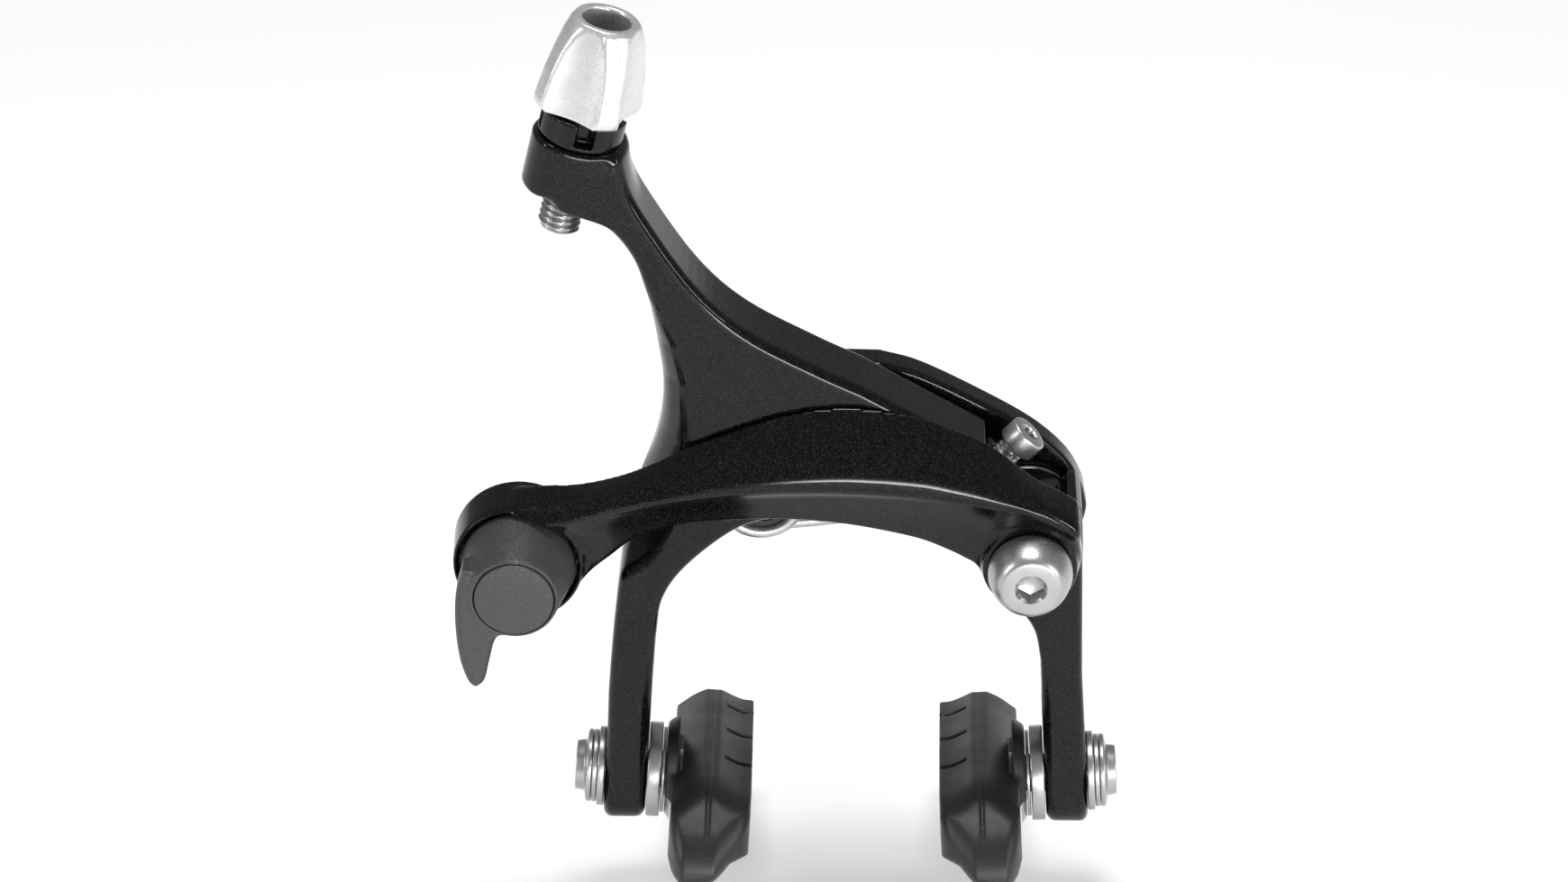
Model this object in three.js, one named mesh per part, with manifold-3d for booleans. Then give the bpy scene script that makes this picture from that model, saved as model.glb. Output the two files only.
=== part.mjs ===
// Dual-pivot rim brake caliper for a road bicycle.
// Millimetres, +Z up, +X to the viewer's right, +Y towards the fork. The origin is on the axis of the
// fixing bolt, in the face that the serrated washer presses against the fork crown.
// The Y arm (cable adjuster, left leg) turns on the fixing bolt; the C arm (front arch, cable anchor,
// right leg) turns on the side pivot bolt. Both pivots sit in a bracket behind the arms.

import * as THREE from 'three';
import { mergeVertices } from 'three/addons/utils/BufferGeometryUtils.js';
import Module from 'manifold-3d';

const wasm = await Module();
wasm.setup();

// ---------------------------------------------------------------- driving dimensions

const GAP = 0.3; // between pieces that bear on each other
const PIVOT_R = 3; // M6 fixing and pivot bolts
const BORE_R = PIVOT_R + GAP;
const BUSH_R = 4.7;
const SEAT_R = BUSH_R + GAP; // bore of an arm around its bush

const WASHER_FRONT = -2.5; // depth planes, counted from the fork face
const BRACKET = { rear: -2.8, front: -8.0 };
const ARM = { rear: -9.3, front: -21.0 };
const ARM_MID = (ARM.rear + ARM.front) / 2;
const ARCH = { rear: -21.4, lower: -24.0, ridge: -29.0 };
const BOSS_FRONT = -26.6;

const SIDE = { x: 27, z: -13.5 }; // side pivot
const RELEASE = { x: -48.7, z: -14.0 }; // quick release and cable anchor

const LEG = { mid: 33.75, half: 3.2, foot: -64.7, halfDepth: 5.85, top: -46 };
const SHOE_BOLT_Z = -56.7; // at the foot of the slot: the longest reach
const CANT = THREE.MathUtils.degToRad(3.5); // the feet splay, so the shoe bolts dip towards the rim
const REACH_TRAVEL = 10; // 47 to 57 mm reach
const SLOT_HALF = 3.3;
const legX = (side, z) => LEG.mid + side * LEG.half - (z - SHOE_BOLT_Z) * Math.tan(CANT);

const ADJUSTER = { x: -42.2, z: 37.2, lean: THREE.MathUtils.degToRad(13.2) }; // lower end of the barrel
const SCREW = { x: 20.5, z: -3.2, lean: THREE.MathUtils.degToRad(44) }; // tip of the centring screw

// ---------------------------------------------------------------- solids

const v3 = (x, y, z) => new THREE.Vector3(x, y, z);

/** A closed BufferGeometry as a manifold-3d solid with its faces pointing out. */
function solid(geometry) {
  const bare = geometry.clone();
  for (const name of Object.keys(bare.attributes)) if (name !== 'position') bare.deleteAttribute(name);
  const merged = mergeVertices(bare, 1e-4);
  const vertProperties = new Float32Array(merged.attributes.position.array);
  const triVerts = new Uint32Array(merged.index.array).filter((_, i, all) => {
    const k = i - (i % 3);
    return all[k] !== all[k + 1] && all[k + 1] !== all[k + 2] && all[k] !== all[k + 2];
  });
  const corner = (i) => v3().fromArray(vertProperties, 3 * triVerts[i]);
  let volume = 0;
  for (let i = 0; i < triVerts.length; i += 3) {
    volume += corner(i).dot(corner(i + 1).cross(corner(i + 2)));
  }
  if (volume < 0) {
    for (let i = 0; i < triVerts.length; i += 3) {
      [triVerts[i + 1], triVerts[i + 2]] = [triVerts[i + 2], triVerts[i + 1]];
    }
  }
  return new wasm.Manifold(new wasm.Mesh({ numProp: 3, vertProperties, triVerts }));
}

/** A manifold-3d solid as a BufferGeometry. */
function geometryOf(shape) {
  const mesh = shape.getMesh();
  const geometry = new THREE.BufferGeometry();
  geometry.setAttribute('position', new THREE.BufferAttribute(new Float32Array(mesh.vertProperties), 3));
  geometry.setIndex(new THREE.BufferAttribute(new Uint32Array(mesh.triVerts), 1));
  geometry.computeVertexNormals();
  return geometry;
}

const join = (first, ...rest) => rest.reduce((sum, next) => sum.add(next), first);
const cut = (first, ...rest) => rest.reduce((left, next) => left.subtract(next), first);

/** Solid of revolution: profile of [radius, height] pairs, closed on the axis or on itself. */
function turned(profile, at, direction, segments = 24) {
  const geometry = new THREE.LatheGeometry(profile.map(([r, h]) => new THREE.Vector2(r, h)), segments);
  const turn = new THREE.Quaternion().setFromUnitVectors(v3(0, 1, 0), direction.clone().normalize());
  geometry.applyQuaternion(turn);
  geometry.translate(at.x, at.y, at.z);
  return solid(geometry);
}

const rod = (r, h0, h1) => [[0, h0], [r, h0], [r, h1], [0, h1]];
const tube = (r0, r1, h0, h1) => [[r0, h0], [r1, h0], [r1, h1], [r0, h1], [r0, h0]];

/** Turned about a line along Y through (x, z); heights are Y. */
const turnedY = (profile, x, z, segments) => turned(profile, v3(x, 0, z), v3(0, 1, 0), segments);

/** An XZ outline extruded between two depths. */
function plate(outline, front, rear) {
  const options = { depth: rear - front, bevelEnabled: false, curveSegments: 6 };
  const geometry = new THREE.ExtrudeGeometry(outline, options);
  geometry.rotateX(Math.PI / 2);
  geometry.translate(0, rear, 0);
  return solid(geometry);
}

/** A YZ outline extruded between two X values. */
function sidePlate(outline, x0, x1) {
  const options = { depth: x1 - x0, bevelEnabled: false, curveSegments: 8 };
  const geometry = new THREE.ExtrudeGeometry(outline, options);
  geometry.applyMatrix4(new THREE.Matrix4().makeBasis(v3(0, 1, 0), v3(0, 0, 1), v3(1, 0, 0)));
  geometry.translate(x0, 0, 0);
  return solid(geometry);
}

function box(x0, x1, y0, y1, z0, z1) {
  const geometry = new THREE.BoxGeometry(x1 - x0, y1 - y0, z1 - z0);
  geometry.translate((x0 + x1) / 2, (y0 + y1) / 2, (z0 + z1) / 2);
  return solid(geometry);
}

/** A skin through sections with equally many corners, closed at both ends. */
function loft(sections) {
  const n = sections[0].length;
  const positions = sections.flat().flatMap((p) => [p.x, p.y, p.z]);
  const index = [];
  for (let s = 0; s + 1 < sections.length; s++) {
    for (let i = 0; i < n; i++) {
      const [a, b] = [s * n + i, s * n + ((i + 1) % n)];
      index.push(a, b, b + n, a, b + n, a + n);
    }
  }
  const last = (sections.length - 1) * n;
  for (let i = 1; i + 1 < n; i++) index.push(0, i + 1, i, last, last + i, last + i + 1);
  const geometry = new THREE.BufferGeometry();
  geometry.setAttribute('position', new THREE.Float32BufferAttribute(positions, 3));
  geometry.setIndex(index);
  return solid(geometry);
}

/** Wire of round section along a smooth curve. */
function wire(points, radius, steps, sides = 6) {
  const ring = new THREE.Shape();
  ring.absarc(0, 0, radius, 0, 2 * Math.PI);
  const curve = new THREE.CatmullRomCurve3(points);
  const options = { extrudePath: curve, steps, curveSegments: sides / 2, bevelEnabled: false };
  return solid(new THREE.ExtrudeGeometry(new THREE.Shape(ring.getPoints(sides).slice(0, sides)), options));
}

/** Hexagonal socket cut, across flats, about a direction. */
function hexSocket(acrossFlats, h0, h1, at, direction) {
  return turned(rod(acrossFlats / Math.sqrt(3), h0, h1), at, direction, 6);
}

/** Closed outline: straight to each [x, z] pair, smooth through the pairs of each nested list. */
function outline(...steps) {
  const shape = new THREE.Shape();
  const [first, ...rest] = steps;
  shape.moveTo(...first);
  for (const step of rest) {
    if (Array.isArray(step[0])) shape.splineThru(step.map(([x, z]) => new THREE.Vector2(x, z)));
    else shape.lineTo(...step);
  }
  return shape;
}

// ---------------------------------------------------------------- materials

function finish(color, roughness, metalness) {
  return new THREE.MeshStandardMaterial({ color, roughness, metalness });
}
const paint = finish(0x17181a, 0.28, 0.3);
const satin = finish(0x35363a, 0.45, 0.3);
const zinc = finish(0xb9bbbd, 0.3, 0.9);
const polished = finish(0xe8e8e6, 0.22, 0.9);
const springSteel = finish(0x9a9c9f, 0.35, 0.9);
const bronze = finish(0x8a6a3c, 0.5, 0.8);
const rubber = finish(0x232425, 0.8, 0.0);
const plastic = finish(0x1d1e20, 0.5, 0.0);

const caliper = new THREE.Group();

function add(name, shape, material) {
  const mesh = new THREE.Mesh(geometryOf(shape), material);
  mesh.name = name;
  caliper.add(mesh);
}

// ---------------------------------------------------------------- fixing bolt, bracket and side pivot

const Y_AXIS = v3(0, 1, 0);
const BOLT_REAR = 10; // the threaded end that goes through the fork crown
const BOLT_HEAD = { front: -20.6, rear: -17.4, r: 5.2 };

add('fixing_bolt', cut(
  join(
    turnedY(rod(PIVOT_R, BOLT_HEAD.rear - 0.1, BOLT_REAR), 0, 0),
    turnedY(rod(BOLT_HEAD.r, BOLT_HEAD.front, BOLT_HEAD.rear), 0, 0),
  ),
  hexSocket(5, BOLT_HEAD.front - 1, BOLT_HEAD.front + 2.2, v3(0, 0, 0), Y_AXIS),
), zinc);

const serrations = 20;
const WASHER_R = 7.6;
let serratedWasher = turnedY(tube(BORE_R, WASHER_R, WASHER_FRONT, 0), 0, 0, 40);
for (let i = 0; i < serrations; i++) {
  const a = (2 * Math.PI * (i + 0.5)) / serrations;
  const notch = new THREE.BoxGeometry(2, 1.2, 0.9);
  notch.rotateX(Math.PI / 4);
  notch.translate(WASHER_R + 0.2, 0, 0);
  notch.rotateY(a);
  notch.translate(0, WASHER_FRONT / 2, 0);
  serratedWasher = cut(serratedWasher, solid(notch));
}
add('serrated_washer', serratedWasher, zinc);

// The bracket wraps its two bosses, bulges along the top and has an ear that carries the spring.
const BOSS = { centre: 10.8, side: 9.0 };
const SPRING = { x: -13.0, z: -12.8, coilR: 5.9, wireR: 0.95, rear: -5.0, front: -7.6, turns: 1.25 };
const bracketAngle = Math.atan2(SIDE.z, SIDE.x);
const tangent = Math.acos((BOSS.centre - BOSS.side) / Math.hypot(SIDE.x, SIDE.z));
const bracketOutline = new THREE.Shape();
bracketOutline.absarc(0, 0, BOSS.centre, Math.PI / 2, bracketAngle - tangent + 2 * Math.PI, false);
bracketOutline.absarc(SIDE.x, SIDE.z, BOSS.side, bracketAngle - tangent, 0, false);
const bracketTop = [[35.0, -9.6], [32.4, -5.2], [27.4, -0.6], [19.6, 4.2], [10.6, 8.9], [4.6, 10.7]];
bracketOutline.splineThru(bracketTop.map(([x, z]) => new THREE.Vector2(x, z)));
const ear = outline(
  [-7, 7], [-10.5, 2], [-17.6, -10], [-18, -13], [-15, -17.2], [-11, -17.6], [-2, -10],
);
const EAR_FRONT = -4.4;
const SPRING_POST_R = 3.4;
add('arm_bracket', cut(
  join(
    plate(bracketOutline, BRACKET.front, BRACKET.rear),
    plate(ear, EAR_FRONT, BRACKET.rear),
    turnedY(rod(SPRING_POST_R, -8.2, EAR_FRONT + 0.2), SPRING.x, SPRING.z, 16),
  ),
  turnedY(rod(BORE_R, -9, -2), 0, 0),
  turnedY(rod(BORE_R, -9, -2), SIDE.x, SIDE.z),
), paint);

const springBushProfile = tube(SPRING_POST_R + 0.25, 4.6, -8.3, EAR_FRONT - 0.25);
add('spring_bush', turnedY(springBushProfile, SPRING.x, SPRING.z, 16), plastic);

const thrustWasher = (r) => tube(BORE_R, r, ARM.rear + GAP, BRACKET.front - GAP);
add('centre_thrust_washer', turnedY(thrustWasher(8.6), 0, 0), springSteel);
add('side_thrust_washer', turnedY(thrustWasher(7.2), SIDE.x, SIDE.z), springSteel);

add('bolt_head_washer', turnedY(tube(BORE_R, 5.9, -17.1, -16.5), 0, 0), zinc);

// Domed head with a flat end: a lathe profile from the end face round to the shank.
const DOME = {
  r: 6.25, base: -26.9, brim: 1.2, end: -32.3, flatR: 3.85, sweep: THREE.MathUtils.degToRad(62),
};
const domeArc = [0, 1, 2, 3, 4].map((i) => {
  const t = (i / 4) * DOME.sweep;
  const out = Math.sin(t) / Math.sin(DOME.sweep);
  const back = (1 - Math.cos(t)) / (1 - Math.cos(DOME.sweep));
  return [DOME.flatR + (DOME.r - DOME.flatR) * out, DOME.end + (DOME.base - DOME.brim - DOME.end) * back];
});
add('side_pivot_bolt', cut(
  turnedY([[0, DOME.end], ...domeArc, [DOME.r, DOME.base], [PIVOT_R, DOME.base], [PIVOT_R, BRACKET.rear],
    [0, BRACKET.rear]], SIDE.x, SIDE.z, 32),
  hexSocket(4, DOME.end - 1, DOME.end + 2.6, v3(SIDE.x, 0, SIDE.z), Y_AXIS),
), zinc);

// One wire: a coil on the ear and a leg out to each arm.
const coil = [];
const coilSteps = Math.round(12 * SPRING.turns);
for (let i = 0; i <= coilSteps; i++) {
  const a = -Math.PI / 2 - (2 * Math.PI * SPRING.turns * i) / coilSteps;
  const y = SPRING.rear + ((SPRING.front - SPRING.rear) * i) / coilSteps - 0.6;
  coil.push(v3(SPRING.x + SPRING.coilR * Math.cos(a), y, SPRING.z + SPRING.coilR * Math.sin(a)));
}
const springPoints = [v3(24.4, -6.9, -25.2), v3(15, -6.2, -20.4), v3(4, -5.6, -17.2), v3(-6, -5.5, -18.0),
  ...coil, v3(-20.6, -8, -18), v3(-25.2, -7.9, -23.5), v3(-30.6, -7.6, -29.6)];
add('return_spring', wire(springPoints, SPRING.wireR, 60, 6), springSteel);

// ---------------------------------------------------------------- Y arm

/** The side view that both legs share: round foot, full depth above. */
const legSide = new THREE.Shape();
legSide.moveTo(ARM.rear, 80);
legSide.lineTo(ARM.front, 80);
legSide.lineTo(ARM.front, LEG.foot + LEG.halfDepth);
legSide.absarc(ARM_MID, LEG.foot + LEG.halfDepth, LEG.halfDepth, Math.PI, 2 * Math.PI, false);

const slotSide = new THREE.Shape();
slotSide.absarc(ARM_MID, SHOE_BOLT_Z, SLOT_HALF, Math.PI, 2 * Math.PI, false);
slotSide.absarc(ARM_MID, SHOE_BOLT_Z + REACH_TRAVEL, SLOT_HALF, 0, Math.PI, false);

/** Turns a shape made about the right leg's bolt line to the splay of the foot. */
function canted(shape) {
  const geometry = geometryOf(shape);
  geometry.translate(-LEG.mid, 0, -SHOE_BOLT_Z);
  geometry.rotateY(-CANT);
  geometry.translate(LEG.mid, 0, SHOE_BOLT_Z);
  return solid(geometry);
}

const adjusterUp = v3(Math.sin(ADJUSTER.lean), 0, Math.cos(ADJUSTER.lean));
const adjusterFoot = v3(ADJUSTER.x, ARM_MID, ADJUSTER.z);
const HEAD = { low: 6.4, high: 15.0, r: 6.8 };
const COLLAR = { low: HEAD.high + 0.3, high: 19.2, r: 6.2 };
const KNOB = { low: 19.6, high: 33.9 };

const screwUp = v3(Math.sin(SCREW.lean), 0, Math.cos(SCREW.lean));
const screwTip = v3(SCREW.x, ARM_MID, SCREW.z);

const yOutline = outline(
  [-33.6, 49.5],
  [[-29.0, 40.3], [-22.1, 29.6], [-15, 22.7], [-5, 16.9], [2, 13.4]],
  [23.2, 1.0], [22.2, -5.2], [20.5, -7.0],
  [[13, -9.0], [6, -9.7], [-4, -9.5], [-10, -8.9], [-16.4, -10.8], [-23.8, -17.2], [-27.6, -23.2],
    [-28.7, -30]],
  [-legX(-1, LEG.top), LEG.top], [-legX(-1, LEG.foot), LEG.foot],
  [-legX(1, LEG.foot), LEG.foot], [-legX(1, LEG.top), LEG.top],
  [[-35.9, -38], [-34.6, -24], [-32.6, -11], [-28.6, 1], [-27.3, 10.5], [-28.2, 20], [-29.6, 29.5],
    [-31.6, 35.2], [-35.4, 39.8], [-41, 42.4]],
);
// The wide bevel down the left of the face.
const bevelStations = [ // height, left edge, width
  [33, -30.8, 0.2], [26, -29.0, 2.6], [17, -27.9, 3.6], [9, -27.2, 4.2], [2, -28.2, 4.6], [-6, -31.4, 4.0],
];
const bevel = loft(bevelStations.map(([z, x, width]) => {
  return [v3(x - 3, ARM.front - 1, z), v3(x + width, ARM.front - 1, z), v3(x + width, ARM.front, z),
    v3(x - 0.1, ARM.front + 5.2, z), v3(x - 3, ARM.front + 5.2, z)];
}));
const screwPocket = new THREE.BoxGeometry(12, 12, 14);
screwPocket.translate(2.0, 0, 7);
screwPocket.rotateY(SCREW.lean);
screwPocket.translate(SCREW.x - 0.45 * Math.sin(SCREW.lean), -17.2, SCREW.z - 0.45 * Math.cos(SCREW.lean));

add('y_arm', cut(
  join(
    plate(yOutline, ARM.front, ARM.rear),
    turned(rod(HEAD.r, HEAD.low, HEAD.high), adjusterFoot, adjusterUp, 28),
  ).intersect(sidePlate(legSide, -60, 60)),
  bevel,
  solid(screwPocket),
  turned(rod(3.5, 0, 30), adjusterFoot, adjusterUp, 20),
  turnedY(rod(SEAT_R, -22, -5), 0, 0),
  turnedY(rod(6.2, -22, -16.2), 0, 0),
  canted(sidePlate(slotSide, LEG.mid - 6, LEG.mid + 6)).mirror([1, 0, 0]),
), paint);

add('centre_bush', turnedY(tube(BORE_R, BUSH_R, -16.2, ARM.rear), 0, 0), bronze);

// Notched collar on top of the head; four slots click against the knob.
let collar = turned(tube(3.5, COLLAR.r, COLLAR.low, COLLAR.high), adjusterFoot, adjusterUp, 28);
for (let i = 0; i < 4; i++) {
  const slot = new THREE.BoxGeometry(2.8, 3.4, 5);
  slot.translate(0, -COLLAR.r + 0.6, COLLAR.high - 0.9);
  slot.rotateZ((i * Math.PI) / 2 + 0.1);
  slot.rotateY(ADJUSTER.lean);
  slot.translate(adjusterFoot.x, adjusterFoot.y, adjusterFoot.z);
  collar = cut(collar, solid(slot));
}
add('adjuster_collar', collar, paint);

add('left_spring_slider', cut(
  box(-33.5, -28.8, ARM.rear + 0.25, -5.2, -31.9, -27.7),
  turned(rod(SPRING.wireR + 0.35, -3, 6), v3(-30.3, -7.6, -29.3), v3(5.4, -0.3, 6.1), 8),
), plastic);

// ---------------------------------------------------------------- barrel adjuster

const BARREL_R = 3.1;
const BARREL_TOP = KNOB.high - 5;
const barrelProfile = [[0, 0], [BARREL_R - 0.5, 0], [BARREL_R, 0.6], [BARREL_R, BARREL_TOP],
  [1.3, BARREL_TOP], [1.3, 1], [0, 1]];
add('adjuster_barrel', turned(barrelProfile, adjusterFoot, adjusterUp, 24), zinc);

const LINER = { low: BARREL_TOP + GAP, high: BARREL_TOP + 1.3 };
add('housing_liner', turned(tube(1.4, 3.1, LINER.low, LINER.high), adjusterFoot, adjusterUp, 20), plastic);

// Tapered knob; four broad hollows leave a rib and a lobed foot between each two.
const HOLLOW = { count: 4, r: 10.8, foot: 5.85, lean: THREE.MathUtils.degToRad(4), turn: 0.36 };
const knobProfile = [[BARREL_R + GAP, KNOB.low], [7.5, KNOB.low], [7.95, KNOB.low + 0.7],
  [7.9, KNOB.low + 2.4], [7.4, KNOB.low + 6], [6.65, KNOB.low + 9.4], [5.8, KNOB.low + 12.2],
  [5.1, KNOB.high - 0.5], [4.6, KNOB.high], [3.55, KNOB.high], [3.55, BARREL_TOP + GAP],
  [BARREL_R + GAP, BARREL_TOP + GAP], [BARREL_R + GAP, KNOB.low]];
let knob = turned(knobProfile, adjusterFoot, adjusterUp, 40);
for (let i = 0; i < HOLLOW.count; i++) {
  const hollow = new THREE.CylinderGeometry(HOLLOW.r, HOLLOW.r, 40, 48);
  hollow.rotateX(Math.PI / 2 - HOLLOW.lean);
  hollow.translate(0, -HOLLOW.foot - HOLLOW.r, KNOB.low);
  hollow.rotateZ((2 * Math.PI * i) / HOLLOW.count - HOLLOW.turn);
  hollow.rotateY(ADJUSTER.lean);
  hollow.translate(adjusterFoot.x, adjusterFoot.y, adjusterFoot.z);
  knob = cut(knob, solid(hollow));
}
add('adjuster_knob', knob, polished);

// ---------------------------------------------------------------- C arm

// Stations along the arch: [x, top at the rear, ridge, lower front edge].
const archStations = [
  [-46, -3.2, -5.4, -21], [-40.5, -2.7, -4.2, -18.2], [-35.7, -1.7, -2.8, -14.2],
  [-30.8, 0, -2.0, -10.2], [-24, 3.4, -0.9, -8.0], [-17, 6.5, 0.1, -7.3],
  [-9, 9.2, 0.7, -7.1], [0, 10.4, 0.9, -7.9],
  [9.7, 9.1, 0.5, -10.0], [15, 7.2, -0.1, -12.2], [21, 4.4, -1.0, -15.4], [27, -0.4, -2.1, -17],
  [31.9, -3.3, -5.0, -15],
];
const arch = loft(archStations.map(([x, top, ridge, low]) => [
  v3(x, ARCH.rear, top), v3(x, ARCH.rear - 1.2, top + 0.15), v3(x, ARCH.ridge + 0.9, ridge + 0.9),
  v3(x, ARCH.ridge, ridge), v3(x, ARCH.ridge + 0.4, ridge - 1.0),
  v3(x, ARCH.lower, low), v3(x, ARCH.rear, low + 0.9),
]));

const cOutline = outline(
  [34.9, -10], [34.7, -7.2], [33.8, -5.8], [32.4, -6.0], [31.7, -8.2], [27.4, -7.4], [24.4, -6.2],
  [23.6, -7.2], [22.0, -9.0], [19.4, -14],
  [[20.2, -18], [22.8, -21.8], [26.0, -24.8], [28.2, -28.4], [29.2, -33.4]],
  [legX(-1, LEG.top), LEG.top], [legX(-1, LEG.foot), LEG.foot],
  [legX(1, LEG.foot), LEG.foot], [legX(1, LEG.top), LEG.top],
  [35.6, -36],
);
// The screw's lug stands behind the arch, square to the screw.
const LUG = { low: 0.9, high: 3.4, left: -2.7, right: 3.2, rear: -11.7 };
const alongScrew = (t, u) => [SCREW.x + t * Math.sin(SCREW.lean) + u * Math.cos(SCREW.lean),
  SCREW.z + t * Math.cos(SCREW.lean) - u * Math.sin(SCREW.lean)];
const lugOutline = outline(alongScrew(LUG.low, LUG.left), alongScrew(LUG.high, LUG.left),
  alongScrew(LUG.high, LUG.right), [27.4, -8], [24, -9], alongScrew(LUG.low, LUG.right));
const RELEASE_HEAD = {
  r: 9.6, rearR: 9.95, rise: 0.75, rear: -18.8, front: -26.2, recessR: 9.05, recess: -24.4,
};
const ringSides = 36;
const circle = (r, y, z) => Array.from({ length: ringSides }, (_, i) => {
  const a = (2 * Math.PI * i) / ringSides;
  return v3(RELEASE.x + r * Math.cos(a), y, z + r * Math.sin(a));
});
// The housing of the quick release leans back and up from its front ring.
const releaseHousing = loft([
  circle(RELEASE_HEAD.r - 0.6, RELEASE_HEAD.front, RELEASE.z),
  circle(RELEASE_HEAD.r, RELEASE_HEAD.front + 0.7, RELEASE.z + 0.07),
  circle(RELEASE_HEAD.rearR, RELEASE_HEAD.rear - 0.6, RELEASE.z + RELEASE_HEAD.rise),
  circle(RELEASE_HEAD.rearR - 0.6, RELEASE_HEAD.rear, RELEASE.z + RELEASE_HEAD.rise),
]);
const sideBoss = [[0, ARM.rear], [7.6, ARM.rear], [7.6, -23], [6.9, BOSS_FRONT], [0, BOSS_FRONT]];
add('c_arm', cut(
  join(
    arch,
    releaseHousing,
    turnedY(sideBoss, SIDE.x, SIDE.z, 28),
    plate(cOutline, ARM.front - 0.6, ARM.rear).intersect(sidePlate(legSide, -60, 60).add(
      box(0, 60, ARM.front - 1, ARM.rear, -30, 10))),
    plate(lugOutline, ARM.front - 0.6, LUG.rear),
  ),
  turned(rod(2.3, -3, 14), screwTip, screwUp, 16),
  turnedY(rod(SEAT_R, -40, -5), SIDE.x, SIDE.z),
  turnedY(rod(DOME.r + 0.4, -40, BOSS_FRONT), SIDE.x, SIDE.z, 28),
  turnedY(rod(RELEASE_HEAD.recessR, -40, RELEASE_HEAD.recess), RELEASE.x, RELEASE.z, 36),
  turnedY(rod(3.8, -40, -15), RELEASE.x, RELEASE.z, 20),
  canted(sidePlate(slotSide, LEG.mid - 6, LEG.mid + 6)),
), paint);

add('side_bush', turnedY(tube(BORE_R, BUSH_R, BOSS_FRONT + 0.1, ARM.rear), SIDE.x, SIDE.z), bronze);

add('right_spring_slider', cut(
  box(21.8, 27.4, ARM.rear + 0.25, -5.4, -27.5, -23.4),
  turned(rod(SPRING.wireR + 0.35, -4, 6), v3(24.4, -6.9, -25.2), v3(-8.5, 0.7, 3.4), 8),
), plastic);

// Small socket screw through the shoulder; its tip stops the end of the Y arm.
const SCREW_HEAD = { low: 6.0, high: 9.2, r: 3.0 };
add('centring_screw', cut(
  turned([[0, 0], [1.5, 0], [2.0, 0.5], [2.0, SCREW_HEAD.low], [SCREW_HEAD.r, SCREW_HEAD.low],
    [SCREW_HEAD.r, SCREW_HEAD.high - 0.5], [SCREW_HEAD.r - 0.5, SCREW_HEAD.high], [0, SCREW_HEAD.high]],
  screwTip, screwUp, 20),
  hexSocket(2.5, SCREW_HEAD.high - 1.8, SCREW_HEAD.high + 1, screwTip, screwUp),
), zinc);

// ---------------------------------------------------------------- quick release and cable anchor

const LEVER = { rear: -24.7, front: -35.8, footR: 8.4, endR: 6.3 };
const leverHub = turnedY([[0, LEVER.rear], [LEVER.footR, LEVER.rear], [LEVER.footR, LEVER.rear - 1.6],
  [LEVER.endR + 0.5, LEVER.front + 0.9], [LEVER.endR + 0.2, LEVER.front + 0.3], [0, LEVER.front + 0.3]],
RELEASE.x, RELEASE.z, 36);
const FANG_FRONT = -35.0;
const FANG_REAR = -30.2;
const fang = plate(outline(
  [-56.4, -9.5], [[-57.5, -14], [-57.6, -19.5], [-57.0, -25], [-55.8, -28.6], [-54.7, -29.7]],
  [[-53.4, -28.6], [-52.6, -25.4], [-51.6, -21.4], [-50.0, -18.6]], [-48, -12],
), FANG_FRONT, FANG_REAR);
add('release_lever', cut(
  join(leverHub, fang),
  turnedY(rod(6.1, LEVER.front - 2, LEVER.front + 1.3), RELEASE.x, RELEASE.z, 28),
  turnedY(rod(2.8, -40, -20), RELEASE.x, RELEASE.z, 20),
), satin);

const capProfile = [[0, LEVER.front], [5.5, LEVER.front], [5.8, LEVER.front + 0.3],
  [5.8, LEVER.front + 1.0], [0, LEVER.front + 1.0]];
add('release_cap', turnedY(capProfile, RELEASE.x, RELEASE.z, 28), satin);

// Shaft with an eccentric pin at the rear that drives the cable anchor block.
const PIN = { throw: 1.6, r: 1.2, angle: THREE.MathUtils.degToRad(-45) };
const pinX = RELEASE.x - PIN.throw * Math.cos(PIN.angle);
const pinZ = RELEASE.z + PIN.throw * Math.sin(PIN.angle);
const shaftProfile = [[0, -34.2], [2.5, -34.2], [2.5, -24.1], [3.5, -24.1], [3.5, -18.4], [0, -18.4]];
add('release_shaft', join(
  turnedY(shaftProfile, RELEASE.x, RELEASE.z, 20),
  turnedY(rod(PIN.r, -18.6, -16.1), pinX, pinZ, 12),
), zinc);

const ANCHOR = { rear: -14.5, front: -18.0, halfX: 5.2, halfZ: 5.6 };
const ANCHOR_SHIFT = -1.13; // the block's place with the lever closed
const anchorZ = RELEASE.z + ANCHOR_SHIFT;
const ANCHOR_BOLT_DROP = 2.4;
add('anchor_block', cut(
  box(RELEASE.x - ANCHOR.halfX, RELEASE.x + ANCHOR.halfX, ANCHOR.front, ANCHOR.rear,
    anchorZ - ANCHOR.halfZ, anchorZ + ANCHOR.halfZ),
  box(RELEASE.x - 3.4, RELEASE.x + 3.4, ANCHOR.front - 1, -15.7,
    anchorZ - PIN.r - 0.4, anchorZ + PIN.r + 0.4),
  turnedY(rod(1.8, -15.9, -10), RELEASE.x, anchorZ - ANCHOR_BOLT_DROP, 16),
), zinc);
add('cable_clamp_plate', cut(
  box(RELEASE.x - 4.6, RELEASE.x + 4.6, -14.2, -13.0, anchorZ - 5.4, anchorZ + 4.4),
  turnedY(rod(1.9, -20, -10), RELEASE.x, anchorZ - ANCHOR_BOLT_DROP, 16),
  box(RELEASE.x + 2.5, RELEASE.x + 3.9, -15, -13.6, anchorZ - 7, anchorZ + 7),
), zinc);
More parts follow.
